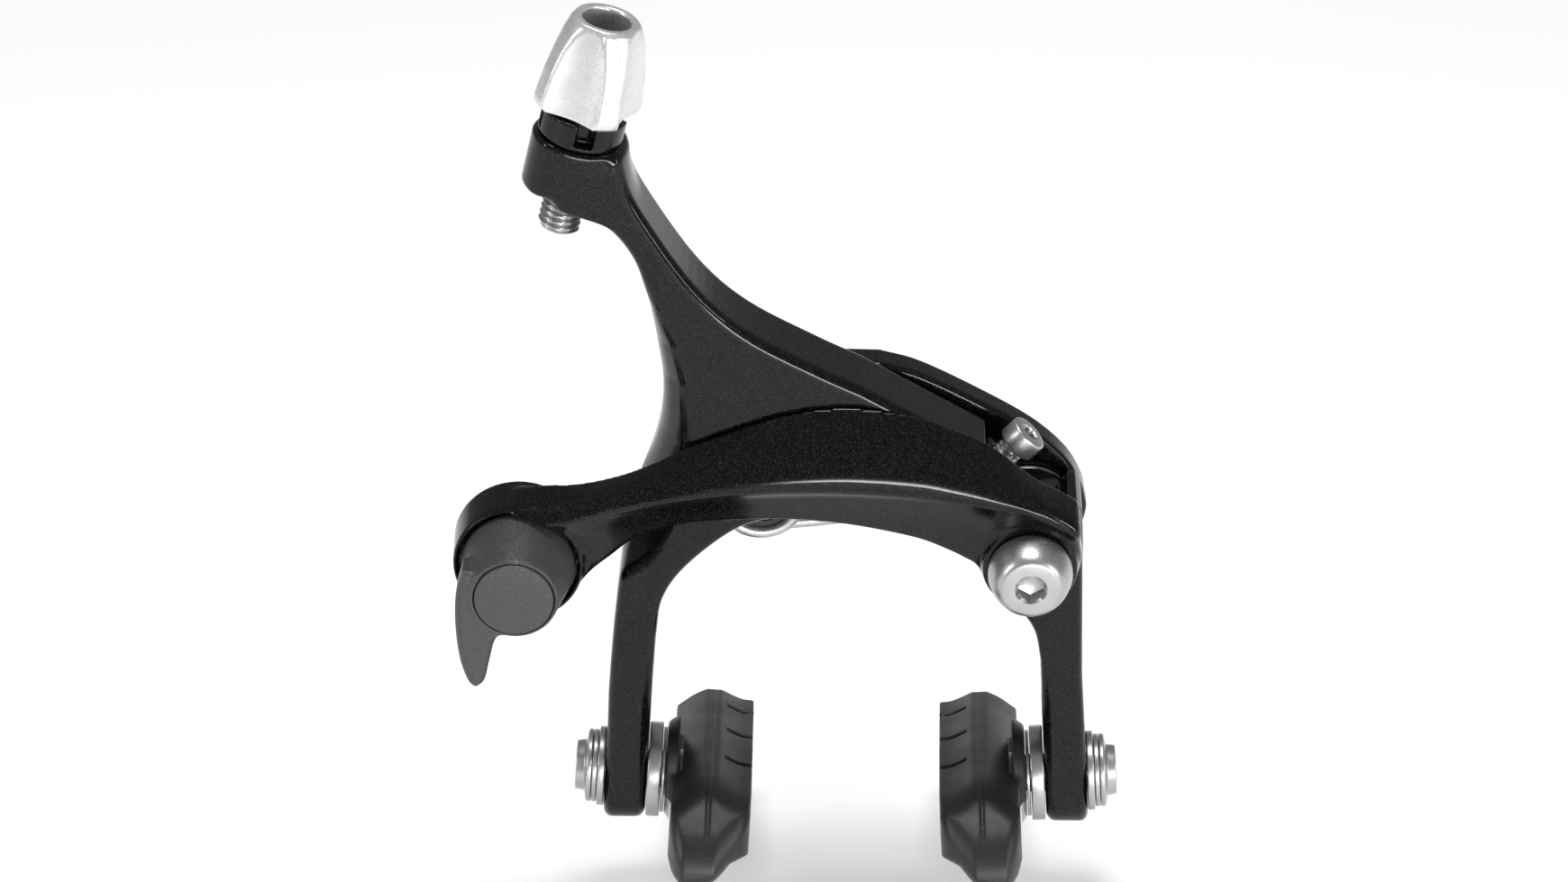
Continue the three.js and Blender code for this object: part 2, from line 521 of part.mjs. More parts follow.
add('cable_clamp_bolt', cut(
  turnedY([[0, -15.6], [1.5, -15.6], [1.5, -12.7], [3.6, -12.7], [3.6, -9.5], [3.1, -9.1], [0, -9.1]],
    RELEASE.x, anchorZ - ANCHOR_BOLT_DROP, 20),
  hexSocket(4, -11.2, -8, v3(RELEASE.x, 0, anchorZ - ANCHOR_BOLT_DROP), Y_AXIS),
), zinc);

// ---------------------------------------------------------------- brake shoes and their hardware

const INNER = LEG.mid - LEG.half;
const OUTER = LEG.mid + LEG.half;
const SHOE = { face: 14.5, halfLength: 27, pitch: THREE.MathUtils.degToRad(13), rimR: 311 };
const SHOE_DROP = -2.2; // the shoe's middle under its bolt
// Section of the shoe: outwards from the braking face, and up from its middle.
const shoeSection = [[0, 5.2], [3.6, 6.2], [5.8, 7.3], [7.4, 7.2], [10.6, 4.9], [12.1, 2.4], [12.1, -3.2],
  [11.2, -5.4], [9.4, -6.3], [6.0, -5.6], [4.2, -5.0], [2.6, -3.2], [0, -2.9]];

/** The section swept along the rim's curve: the top rolls over towards the front end. */
function shoeBlock() {
  return loft([-1, -0.93, -0.8, -0.6, -0.3, 0, 0.3, 0.6, 0.93, 1].map((t) => {
    const along = t * SHOE.halfLength;
    const roof = 7.6 - 0.022 * Math.max(-along - 10, 0) ** 2;
    const squeeze = Math.abs(t) === 1 ? 0.84 : 1;
    return shoeSection.map(([out, up]) => v3(
      SHOE.face + (out === 0 ? 0 : 6 + (out - 6) * squeeze), ARM_MID + along,
      SHOE_BOLT_Z + SHOE_DROP + Math.min(up, roof) * squeeze - along ** 2 / (2 * SHOE.rimR)));
  }));
}

const X_AXIS = v3(1, 0, 0);
const boltLine = v3(0, ARM_MID, SHOE_BOLT_Z);
const turnedX = (profile, segments) => turned(profile, boltLine, X_AXIS, segments);

/** Pieces of the right shoe; heights are X. The left ones are their mirror images. */
const shoePieces = {
  shoe_pad: [rubber, () => cut(
    shoeBlock(),
    turnedX(rod(6.5, 24.2, 40), 24),
    ...[0, 7, 13.5].map((along) => box(
      SHOE.face - 1, SHOE.face + 4.2, ARM_MID + along, ARM_MID + along + 1.2,
      SHOE_BOLT_Z + SHOE_DROP + 4.6, SHOE_BOLT_Z + 12,
    )),
  )],
  shoe_stud: [zinc, () => cut(
    turnedX([[0, 24.5], [6.2, 24.5], [6.2, 25.2], [5.2, 27.0], [4.4, 27.6], [0, 27.6]], 24),
    turnedX(rod(2.6, 25.6, 40), 16),
  )],
  inner_convex_washer: [zinc, () => turnedX(tube(3.3, 7.0, 27.9, 28.7), 24)],
  inner_concave_washer: [zinc, () => turnedX(tube(3.3, 7.2, 28.95, INNER - 0.25), 24)],
  outer_concave_washer: [zinc, () => turnedX(tube(3.3, 6.1, OUTER + 0.25, 38.0), 24)],
  outer_flat_washer: [zinc, () => turnedX(tube(3.3, 5.6, 38.25, 38.8), 24)],
  shoe_bolt: [zinc, () => cut(
    turnedX([[0, 25.9], [2.3, 25.9], [2.3, 27.5], [2.9, 27.8], [2.9, 39.05], [5.6, 39.05], [5.6, 39.6],
      [3.6, 40.0], [3.3, 41.5], [0, 41.5]], 24),
    turned(rod(4 / Math.sqrt(3), 39.6, 43), boltLine, X_AXIS, 6),
  )],
};

/** Turns a shoe about its bolt so that its front end rides high, as the shoe is fitted. */
function pitched(shape) {
  const geometry = geometryOf(shape);
  geometry.translate(0, -ARM_MID, -SHOE_BOLT_Z);
  geometry.rotateX(-SHOE.pitch);
  geometry.translate(0, ARM_MID, SHOE_BOLT_Z);
  return solid(geometry);
}

for (const [name, [material, make]] of Object.entries(shoePieces)) {
  const made = canted(name === 'shoe_pad' ? pitched(make()) : make());
  add(`right_${name}`, made, material);
  add(`left_${name}`, made.mirror([1, 0, 0]), material);
}

export default caliper;
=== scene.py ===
"""Looks of a dual-pivot rim brake caliper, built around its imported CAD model.

Shapes are worked out in millimetres in the CAD frame (+Z up, +Y towards the fork, origin in the face
that bears on the fork crown) and turned into metres when a mesh is made. Cast, forged and moulded
pieces are signed distance fields, which give them true fillets; turned pieces are lathe profiles.
"""

import math

import bpy
import numpy as np
import openvdb
from mathutils import Matrix, Vector


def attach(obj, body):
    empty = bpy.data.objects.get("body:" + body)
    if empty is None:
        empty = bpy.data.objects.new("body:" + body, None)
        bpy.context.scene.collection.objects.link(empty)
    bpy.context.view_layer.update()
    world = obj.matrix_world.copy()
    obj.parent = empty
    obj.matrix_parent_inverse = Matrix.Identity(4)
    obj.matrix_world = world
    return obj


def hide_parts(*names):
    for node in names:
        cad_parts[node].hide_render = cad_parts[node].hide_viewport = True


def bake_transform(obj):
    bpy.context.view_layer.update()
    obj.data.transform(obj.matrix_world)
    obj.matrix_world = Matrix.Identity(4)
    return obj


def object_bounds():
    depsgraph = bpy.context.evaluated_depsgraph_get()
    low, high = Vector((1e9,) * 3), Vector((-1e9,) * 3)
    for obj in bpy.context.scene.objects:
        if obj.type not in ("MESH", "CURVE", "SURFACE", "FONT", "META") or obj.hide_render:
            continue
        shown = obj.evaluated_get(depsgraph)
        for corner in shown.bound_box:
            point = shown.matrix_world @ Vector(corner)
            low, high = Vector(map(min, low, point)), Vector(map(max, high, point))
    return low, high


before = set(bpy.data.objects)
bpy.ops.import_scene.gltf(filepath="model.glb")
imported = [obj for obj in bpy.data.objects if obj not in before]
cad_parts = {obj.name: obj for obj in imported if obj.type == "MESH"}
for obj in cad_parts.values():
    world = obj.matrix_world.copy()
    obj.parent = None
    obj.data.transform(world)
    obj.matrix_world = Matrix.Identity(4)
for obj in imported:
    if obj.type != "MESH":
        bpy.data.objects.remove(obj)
cad_low, cad_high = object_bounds()

MM = 0.001

# ---------------------------------------------------------------- driving dimensions (mm)

ARM_REAR, ARM_FRONT = -9.3, -21.0
ARM_MID = (ARM_REAR + ARM_FRONT) / 2
SIDE = (27.0, -13.5)  # side pivot, x and z
RELEASE = (-48.7, -14.0)  # quick release
LEG_MID, LEG_HALF, LEG_FOOT, LEG_TOP, LEG_HALF_DEPTH = 33.75, 3.2, -64.7, -46.0, 5.85
SHOE_BOLT_Z = -56.7
CANT = math.radians(3.5)  # splay of the feet
SLOT_HALF, REACH_TRAVEL = 3.3, 10.0
ADJUSTER = (-42.2, ARM_MID, 37.2)
ADJUSTER_LEAN = math.radians(13.2)
SCREW_TIP = (20.5, ARM_MID, -3.2)
SCREW_LEAN = math.radians(44)
DOME_R, DOME_BASE, DOME_END, DOME_FLAT = 6.25, -26.9, -32.3, 3.85
BOSS_FRONT = -26.6
HEAD_HIGH = 15.0
KNOB_LOW, KNOB_HIGH = 19.6, 33.9
BARREL_TOP = KNOB_HIGH - 5
LUG_FRONT, LUG_REAR = -21.6, -11.7  # the lug that holds the centring screw
PIVOT_BORE, BUSH_BORE = 3.3, 5.0
CAST_STEP = 0.34  # sample spacing of the arms
LEVER_STEP = 0.22  # of the release lever
SMALL_STEP = 0.16  # and of small pieces
FLAKE_SCALE = 8200.0  # paint flakes per metre


def leaning(angle):
    return (math.sin(angle), 0.0, math.cos(angle))


ADJUSTER_UP = leaning(ADJUSTER_LEAN)
SCREW_UP = leaning(SCREW_LEAN)
REARWARD = (0.0, 1.0, 0.0)
AT_CENTRE = (0, 0, 0)
AT_SIDE = (SIDE[0], 0, SIDE[1])
AT_RELEASE = (RELEASE[0], 0, RELEASE[1])


def leg_x(edge, z):
    """X of the right leg's inner (-1) or outer (1) face at a height, below the straight part's top."""
    return LEG_MID + edge * LEG_HALF - (z - SHOE_BOLT_Z) * math.tan(CANT)


# ---------------------------------------------------------------- distance fields


class Field:
    """Sample points on a regular grid. A shape on it is its signed distance, negative inside."""

    def __init__(self, low, high, step):
        margin = 3 * step
        self.step = step
        self.low = np.array(low, float) - margin
        counts = np.ceil((np.array(high, float) + margin - self.low) / step).astype(int) + 1
        axes = [(self.low[i] + step * np.arange(counts[i])).astype(np.float32) for i in range(3)]
        self.x, self.y, self.z = np.meshgrid(*axes, indexing="ij", sparse=True)
        self.shape = tuple(counts)

    def along(self, at, axis):
        """Height along an axis through a point, and distance from it."""
        dx, dy, dz = self.x - at[0], self.y - at[1], self.z - at[2]
        t = dx * axis[0] + dy * axis[1] + dz * axis[2]
        return t, np.sqrt(np.maximum(dx * dx + dy * dy + dz * dz - t * t, 0))

    def rod(self, at, axis, radius, low, high, edge=0.0):
        t, r = self.along(at, axis)
        return meet(r - radius, between(t, low, high), edge)

    def mesh(self, distance):
        """Vertices in metres and faces of the surface at distance 0."""
        band = 3 * self.step
        full = np.broadcast_to(distance, self.shape)
        grid = openvdb.FloatGrid(band)
        grid.copyFromArray(np.ascontiguousarray(np.clip(full, -band, band), dtype=np.float32))
        points, quads = grid.convertToQuads(isovalue=0.0)
        return (points * self.step + self.low) * MM, quads[:, ::-1]


def between(value, low, high):
    return np.abs(value - (low + high) / 2) - (high - low) / 2


def meet(a, b, r=0.0):
    """What both shapes share, its edge rounded to radius r."""
    if r == 0:
        return np.maximum(a, b)
    return np.minimum(-r, np.maximum(a, b)) + np.hypot(np.maximum(a + r, 0), np.maximum(b + r, 0))


def fuse(a, b, r=0.0):
    """Both shapes together, with a fillet of radius r."""
    return -meet(-a, -b, r)


def cut(a, b, r=0.0):
    return meet(a, -b, r)


def smooth(points, spans=6):
    """Points on a Catmull-Rom curve through the given ones."""
    p = np.array(points, float)
    p = np.vstack([2 * p[0] - p[1], p, 2 * p[-1] - p[-2]])
    made = []
    for i in range(1, len(p) - 2):
        for k in range(spans):
            t = k / spans
            made.append(0.5 * (2 * p[i] + (p[i + 1] - p[i - 1]) * t
                               + (2 * p[i - 1] - 5 * p[i] + 4 * p[i + 1] - p[i + 2]) * t * t
                               + (3 * p[i] - p[i - 1] - 3 * p[i + 1] + p[i + 2]) * t ** 3))
    made.append(p[-2])
    return np.array(made)


def outline(*steps):
    """Closed outline: straight to each pair, smooth through the pairs of each nested list."""
    made = [steps[0]]
    for step in steps[1:]:
        if isinstance(step[0], (list, tuple)):
            made.extend(map(tuple, smooth([made[-1], *step])[1:]))
        else:
            made.append(step)
    return made


def flat_distance(u, v, points):
    """Signed distance to a closed outline in a plane."""
    best = np.full(np.broadcast(u, v).shape, 1e9, np.float32)
    inside = np.zeros(best.shape, bool)
    for (ax, ay), (bx, by) in zip(points, [*points[1:], points[0]]):
        ex, ey = bx - ax, by - ay
        length = ex * ex + ey * ey
        if length < 1e-12:
            continue
        wx, wy = u - ax, v - ay
        t = np.clip((wx * ex + wy * ey) / length, 0, 1)
        best = np.minimum(best, (wx - ex * t) ** 2 + (wy - ey * t) ** 2)
        if ay != by:
            crosses = ((v >= ay) != (v >= by)) & (u < ax + (v - ay) * ex / ey)
            inside ^= crosses
    return np.where(inside, -1, 1) * np.sqrt(best)


def facet(u, v, start, end):
    """Distance outside the line from start to end, whose inside is on its left."""
    du, dv = end[0] - start[0], end[1] - start[1]
    return ((u - start[0]) * dv - (v - start[1]) * du) / np.hypot(du, dv)


def rotated(u, v, at, angle):
    """Coordinates in a frame turned by an angle about a point."""
    c, s = math.cos(angle), math.sin(angle)
    return at[0] + (u - at[0]) * c + (v - at[1]) * s, at[1] - (u - at[0]) * s + (v - at[1]) * c


# ---------------------------------------------------------------- pieces


def piece(name, mesh_data, material, body, nodes=(), sharp=None, at_once=True):
    vertices, faces = mesh_data
    mesh = bpy.data.meshes.new(name)
    mesh.from_pydata(np.asarray(vertices).tolist(), [], [list(map(int, f)) for f in faces])
    mesh.validate()
    mesh.polygons.foreach_set("use_smooth", [True] * len(mesh.polygons))
    if sharp:
        mesh.set_sharp_from_angle(angle=math.radians(sharp))
    mesh.materials.append(material)
    made = bpy.data.objects.new(name, mesh)
    bpy.context.scene.collection.objects.link(made)
    if at_once:
        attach(made, body)
    if nodes:
        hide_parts(*nodes)
    return made


def hexagon(theta, r, h):
    """Radius of a hexagon whose flats are r from the axis."""
    return r / math.cos((theta + math.pi / 6) % (math.pi / 3) - math.pi / 6)


def thread(pitch, depth):
    """Radius of a screw thread whose crests are at r."""
    def radius(theta, r, h):
        phase = (h / pitch - theta / (2 * math.pi)) % 1.0
        return r - depth * min(1.0, 1.25 * abs(2 * phase - 1))
    return radius


def threaded(r, low, high, pitch, depth=None):
    """Profile rows of a threaded stretch."""
    rows = max(8, int(round((high - low) / pitch * 8)))
    cutter = thread(pitch, depth or 0.55 * pitch)
    return [(r, low + (high - low) * i / rows, cutter) for i in range(rows + 1)]


def eased(profile, radius=0.15, steps=3):
    """Profile with its plain corners rounded."""
    made = [profile[0]]
    for before, here, after in zip(profile, profile[1:], profile[2:]):
        if len(before) > 2 or len(here) > 2 or len(after) > 2:
            made.append(here)
            continue
        p, q, r = (np.array(point, float) for point in (before, here, after))
        a, b = np.linalg.norm(p - q), np.linalg.norm(r - q)
        if a < 1e-6 or b < 1e-6:
            continue
        reach_a, reach_b = min(radius, a * 0.45), min(radius, b * 0.45)
        start, end = q + (p - q) / a * reach_a, q + (r - q) / b * reach_b
        for i in range(steps + 1):
            t = i / steps
            made.append(tuple((1 - t) ** 2 * start + 2 * t * (1 - t) * q + t * t * end))
    made.append(profile[-1])
    return made


def turned(profile, at, axis, segments=72):
    """Lathe mesh data: rows of (radius, height) or (radius, height, shape) from the axis back to it,
    or closed on itself. A shape gives the radius by angle, as hexagon and thread do."""
    direction = Vector(axis).normalized()
    side = direction.orthogonal().normalized()
    if abs(direction.y) > 0.9:
        side = Vector((1, 0, 0))
    up = direction.cross(side)
    ring = [2 * math.pi * j / segments for j in range(segments)]
    looped = profile[0][0] > 0
    rows = profile[:-1] if looped else profile
    vertices, index = [], []
    for row in rows:
        r, h = row[0], row[1]
        if r == 0:
            index.append([len(vertices)] * segments)
            vertices.append(Vector(at) + direction * h)
            continue
        index.append(list(range(len(vertices), len(vertices) + segments)))
        for theta in ring:
            radius = row[2](theta, r, h) if len(row) > 2 else r
            spoke = side * math.cos(theta) + up * math.sin(theta)
            vertices.append(Vector(at) + direction * h + spoke * radius)
    pairs = list(zip(index, index[1:]))
    if looped:
        pairs.append((index[-1], index[0]))
    faces = []
    for low, high in pairs:
        for j in range(segments):
            k = (j + 1) % segments
            corners = [low[j], low[k], high[k], high[j]]
            distinct = list(dict.fromkeys(corners))
            if len(distinct) > 2:
                faces.append(distinct)
    points = np.array([tuple(v) for v in vertices])
    if enclosed(points, faces) < 0:
        faces = [f[::-1] for f in faces]
    return points * MM, faces


def enclosed(points, faces):
    """Six times the volume that the faces enclose, negative where they face inwards."""
    total = 0.0
    for f in faces:
        a = points[f[0]]
        for i in range(1, len(f) - 1):
            total += float(np.dot(a, np.cross(points[f[i]], points[f[i + 1]])))
    return total


def wire(points, radius, spans=10, sides=14):
    """Mesh data of a round wire with rounded ends along a smooth curve."""
    path = smooth(points, spans)
    tangents = np.gradient(path, axis=0)
    tangents /= np.linalg.norm(tangents, axis=1)[:, None]
    normal = np.cross(tangents[0], (0.3, 0.1, 1.0))
    rings = []
    for p, t in zip(path, tangents):
        normal = normal - t * np.dot(normal, t)
        normal /= np.linalg.norm(normal)
        rings.append((p, t, normal, np.cross(t, normal)))
    ends = [(0.55, 0.85), (0.86, 0.5), (1.0, 0.0)]
    first = [(rings[0], s, -b) for s, b in ends]
    last = [(rings[-1], s, b) for s, b in reversed(ends)]
    sections = first[:2] + [(r, 1.0, 0.0) for r in rings] + last[1:]
    vertices, faces = [], []
    for (p, t, n, b), size, push in sections:
        for j in range(sides):
            a = 2 * math.pi * j / sides
            offset = (n * math.cos(a) + b * math.sin(a)) * size + t * push
            vertices.append(p + offset * radius)
    for s in range(len(sections) - 1):
        for j in range(sides):
            k = (j + 1) % sides
            faces.append([s * sides + j, s * sides + k, (s + 1) * sides + k, (s + 1) * sides + j])
    final = (len(sections) - 1) * sides
    faces.append(list(range(sides))[::-1])
    faces.append([final + j for j in range(sides)])
    points = np.array(vertices)
    if enclosed(points, faces) < 0:
        faces = [f[::-1] for f in faces]
    return points * MM, faces


def mirrored(mesh_data):
    """The left-hand copy of a right-hand piece."""
    vertices, faces = mesh_data
    return np.asarray(vertices) * (-1, 1, 1), [list(f)[::-1] for f in faces]


# ---------------------------------------------------------------- materials


class Nodes:
    """A procedural material under construction."""

    def __init__(self, name):
        self.material = bpy.data.materials.new(name)
        self.material.use_nodes = True
        self.tree = self.material.node_tree
        self.shader = self.tree.nodes["Principled BSDF"]
        self.place = self.add("ShaderNodeTexCoord").outputs["Object"]

    def add(self, kind, inputs=None, **settings):
        node = self.tree.nodes.new(kind)
        for key, value in settings.items():
            setattr(node, key, value)
        for key, value in (inputs or {}).items():
            if isinstance(value, bpy.types.NodeSocket):
                self.tree.links.new(value, node.inputs[key])
            else:
                node.inputs[key].default_value = value
        return node

    def set(self, **values):
        for key, value in values.items():
            socket = self.shader.inputs[key.replace("_", " ")]
            if isinstance(value, bpy.types.NodeSocket):
                self.tree.links.new(value, socket)
            else:
                socket.default_value = value

    def noise(self, scale, detail=3.0, roughness=0.55, vector=None):
        inputs = {"Vector": vector or self.place, "Scale": scale, "Detail": detail, "Roughness": roughness}
        return self.add("ShaderNodeTexNoise", inputs).outputs["Fac"]

    def ramp(self, value, low, high, low_to=0.0, high_to=1.0):
        """A value mapped from one range to another and held at its ends."""
        inputs = {"Value": value, "From Min": low, "From Max": high, "To Min": low_to, "To Max": high_to}
        return self.add("ShaderNodeMapRange", inputs).outputs["Result"]

    def mix(self, share, a, b):
        node = self.add("ShaderNodeMix", data_type="RGBA")
        for socket, value in ((node.inputs[0], share), (node.inputs[6], a), (node.inputs[7], b)):
            if isinstance(value, bpy.types.NodeSocket):
                self.tree.links.new(value, socket)
            else:
                socket.default_value = value
        return node.outputs[2]

    def bump(self, height, strength, distance, normal=None):
        inputs = {"Height": height, "Strength": strength, "Distance": distance}
        if normal is not None:
            inputs["Normal"] = normal
        return self.add("ShaderNodeBump", inputs).outputs["Normal"]


def grey(level, alpha=1.0, warm=0.0):
    return (level * (1 + warm), level, level * (1 - warm), alpha)


def flake_paint(name, base, flake, roughness, coat, sparkle, specular):
    """Dark paint over forged alloy: fine metal flakes under a clear coat."""
    n = Nodes(name)
    cells = n.add("ShaderNodeTexVoronoi", {"Vector": n.place, "Scale": FLAKE_SCALE, "Randomness": 1.0})
    chosen = n.add("ShaderNodeSeparateColor", {"Color": cells.outputs["Color"]})
    glint = n.ramp(chosen.outputs["Red"], 1 - sparkle, 1.0)
    n.set(Base_Color=n.mix(glint, base, flake), Metallic=n.ramp(glint, 0.0, 1.0, 0.0, 0.5))
    middle = (-0.5, -0.5, -0.5)
    centred = n.add("ShaderNodeVectorMath", {0: cells.outputs["Color"], 1: middle}, operation="ADD")
    tilt = n.add("ShaderNodeVectorMath", {0: centred.outputs["Vector"], "Scale": 0.3}, operation="SCALE")
    facing = n.add("ShaderNodeNewGeometry").outputs["Normal"]
    tilted = n.add("ShaderNodeVectorMath", {0: facing, 1: tilt.outputs["Vector"]}, operation="ADD")
    normal = n.add("ShaderNodeVectorMath", {0: tilted.outputs["Vector"]}, operation="NORMALIZE")
    n.set(Normal=normal.outputs["Vector"])
    n.set(Roughness=n.ramp(n.noise(160.0), 0.3, 0.7, roughness - 0.05, roughness + 0.06))
    orange_peel = n.bump(n.noise(420.0, 2.0), 0.01, 0.0003)
    n.set(Coat_Normal=orange_peel)
    n.shader.inputs["Coat Weight"].default_value = coat
    n.shader.inputs["Coat Roughness"].default_value = 0.14
    n.shader.inputs["Coat IOR"].default_value = 1.33
    n.shader.inputs["Specular IOR Level"].default_value = specular
    return n.material


def bright_metal(name, level, roughness, warm=0.0, grain=5200.0, depth=0.12, metallic=0.85):
    """Plated or machined metal: a fine grain, faint clouding and small scratches."""
    n = Nodes(name)
    cloud = n.noise(240.0, 4.0)
    dull, clean = grey(level * 0.86, warm=warm), grey(level, warm=warm)
    n.set(Base_Color=n.mix(n.ramp(cloud, 0.35, 0.68), dull, clean))
    n.shader.inputs["Metallic"].default_value = metallic
    speckle = n.noise(grain, 2.0, 0.7)
    n.set(Roughness=n.ramp(speckle, 0.3, 0.7, roughness - 0.07, roughness + 0.09))
    stretch = n.add("ShaderNodeMapping", {"Vector": n.place, "Scale": (1.0, 0.08, 1.0)}).outputs["Vector"]
    scratches = n.noise(6400.0, 2.0, 0.6, vector=stretch)
    first = n.bump(scratches, depth * 0.6, 0.0001)
    n.set(Normal=n.bump(speckle, depth, 0.0001, normal=first))
    return n.material


def moulded(name, base, raised, roughness, grain, depth, sheen=0.0):
    """Moulded rubber or plastic: a fine matte grain with slightly paler high spots."""
    n = Nodes(name)
    fine = n.noise(grain, 4.0, 0.6)
    broad = n.noise(180.0, 3.0)
    tone = n.mix(n.ramp(fine, 0.35, 0.7), base, raised)
    n.set(Base_Color=n.mix(n.ramp(broad, 0.3, 0.75, 0.0, 0.35), tone, base))
    n.set(Roughness=n.ramp(broad, 0.3, 0.7, roughness - 0.05, roughness + 0.06))
    n.set(Normal=n.bump(fine, depth, 0.00012))
    n.shader.inputs["Sheen Weight"].default_value = sheen
    n.shader.inputs["Sheen Roughness"].default_value = 0.4
    n.shader.inputs["Specular IOR Level"].default_value = 0.42
    return n.material


PAINT = flake_paint("black_flake_paint", grey(0.0012), grey(0.022), 0.4, 1.0, 0.3, 0.0)
SATIN = flake_paint("satin_grey_paint", grey(0.038, warm=-0.02), grey(0.08), 0.44, 0.0, 0.3, 0.45)
ZINC = bright_metal("zinc_plate", 0.46, 0.33, warm=0.01, metallic=0.93)
POLISHED = bright_metal("polished_alloy", 0.74, 0.3, warm=0.004, grain=2600.0, depth=0.012,
                        metallic=0.75)
STEEL = bright_metal("spring_steel", 0.55, 0.3)
BRONZE = bright_metal("sintered_bronze", 0.34, 0.48, warm=0.32)
RUBBER = moulded("brake_rubber", grey(0.006), grey(0.012), 0.4, 5200.0, 0.3, sheen=0.02)
PLASTIC = moulded("moulded_plastic", grey(0.012), grey(0.018), 0.42, 3600.0, 0.15)

# ---------------------------------------------------------------- fixing bolt, washer and bracket


def plain_y(profile, x, z, segments=72):
    """Turned about a line along Y; heights are Y."""
    return turned(profile, (x, 0, z), REARWARD, segments)


def ring(inner, outer, low, high, edge=0.15):
    """Closed profile of a washer or bush."""
    corners = [(inner, (low + high) / 2), (inner, low), (outer, low), (outer, high), (inner, high),
               (inner, (low + high) / 2)]
    return eased(corners, edge)


def socket(across, mouth, floor, chamfer=0.35):
    """Rows of a hexagonal socket from its floor on the axis out to its chamfered mouth."""
    flat = across / 2
    inward = math.copysign(chamfer, floor - mouth)
    return [(0, floor + inward * 1.6), (flat * 0.75, floor + inward * 0.5), (flat, floor, hexagon),
            (flat, mouth + inward, hexagon), (flat / math.cos(math.pi / 6) + 0.08, mouth)]


def make_fixing_bolt():
    head_front, head_rear, head_r, shank_r, tail = -20.6, -17.4, 5.2, 3.0, 10.0
    rows = socket(5, head_front, head_front + 2.2)
    rows += eased([(4.2, head_front), (head_r, head_front), (head_r, head_rear), (shank_r, head_rear),
                   (shank_r, 0.5)], 0.3)
    rows += threaded(shank_r, 0.6, tail - 0.5, 1.0)
    rows += [(shank_r - 0.7, tail), (0, tail)]
    piece("fixing_bolt_detail", plain_y(rows, 0, 0), ZINC, "base", ["fixing_bolt"], sharp=35)


def make_serrated_washer():
    front, rear, outer, teeth = -2.5, 0.0, 7.6, 20
    f = Field((-outer, front, -outer), (outer, rear, outer), SMALL_STEP)
    r = np.hypot(f.x, f.z)
    body = meet(meet(r - outer, 3.3 - r), between(f.y, front, rear), 0.18)
    pitch = 2 * math.pi / teeth
    swing = (np.arctan2(f.z, f.x) % pitch) - pitch / 2
    notch = np.abs(swing) * r - 0.85 + (outer - r) * 0.65
    rib = meet(notch, between(f.y, (front + rear) / 2 - 0.75, (front + rear) / 2 + 0.75))
    body = cut(body, rib, 0.12)
    rear_teeth = np.abs(swing) * r - 0.34
    groove = meet(rear_teeth, -(f.y + 0.35))
    body = cut(body, meet(groove, 4.4 - r), 0.1)
    piece("serrated_washer_detail", f.mesh(body), ZINC, "base", ["serrated_washer"])


def make_bracket():
    rear, front, ear_front = -2.8, -8.0, -4.4
    boss, side_boss = 10.8, 9.0
    direction = math.atan2(SIDE[1], SIDE[0])
    tangent = math.acos((boss - side_boss) / math.hypot(*SIDE))
    steps = 40

    def arc(cx, cz, r, start, end):
        angles = [start + (end - start) * i / steps for i in range(steps + 1)]
        return [(cx + r * math.cos(a), cz + r * math.sin(a)) for a in angles]

    shape = arc(0, 0, boss, math.pi / 2, direction - tangent + 2 * math.pi)
    shape += arc(*SIDE, side_boss, direction - tangent, 0)
    top_edge = [(35.0, -9.6), (32.4, -5.2), (27.4, -0.6), (19.6, 4.2), (10.6, 8.9), (4.6, 10.7)]
    shape += list(map(tuple, smooth([shape[-1], *top_edge])[1:]))
    ear = [(-7, 7), (-10.5, 2), (-17.6, -10), (-18, -13), (-15, -17.2), (-11, -17.6), (-2, -10)]
    f = Field((-19, front - 0.4, -23), (37, rear, 12), 0.3)
    body = meet(flat_distance(f.x, f.z, shape), between(f.y, front, rear), 0.9)
    lug = meet(flat_distance(f.x, f.z, ear), between(f.y, ear_front, rear), 0.5)
    body = fuse(body, lug, 1.2)
    body = fuse(body, f.rod((-13.0, 0, -12.8), REARWARD, 3.4, -8.2, ear_front + 0.2, 0.3), 0.3)
    for at in (AT_CENTRE, AT_SIDE):
        body = cut(body, f.rod(at, REARWARD, PIVOT_BORE, -12, 0), 0.25)
    piece("bracket_detail", f.mesh(body), PAINT, "base", ["arm_bracket"])


def make_bearings():
    steps = [
        ("centre_thrust_washer", ring(3.3, 8.6, -9.0, -8.3, 0.12), (0, 0), STEEL, "spring_steel", "base"),
        ("side_thrust_washer", ring(3.3, 7.2, -9.0, -8.3, 0.12), SIDE, STEEL, "spring_steel", "base"),
        ("bolt_head_washer", ring(3.3, 5.9, -17.1, -16.5, 0.12), (0, 0), ZINC, "zinc", "base"),
        ("spring_bush", ring(3.65, 4.6, -8.3, -4.65, 0.2), (-13.0, -12.8), PLASTIC, "plastic", "base"),
        ("centre_bush", ring(3.3, 4.7, -16.2, ARM_REAR, 0.2), (0, 0), BRONZE, "bronze", "y_arm"),
        ("side_bush", ring(3.3, 4.7, BOSS_FRONT + 0.1, ARM_REAR, 0.2), SIDE, BRONZE, "bronze", "c_arm"),
    ]
    for node, profile, (x, z), material, slot, body in steps:
        piece(f"{node}_detail", plain_y(profile, x, z), material, body, [node], sharp=40)


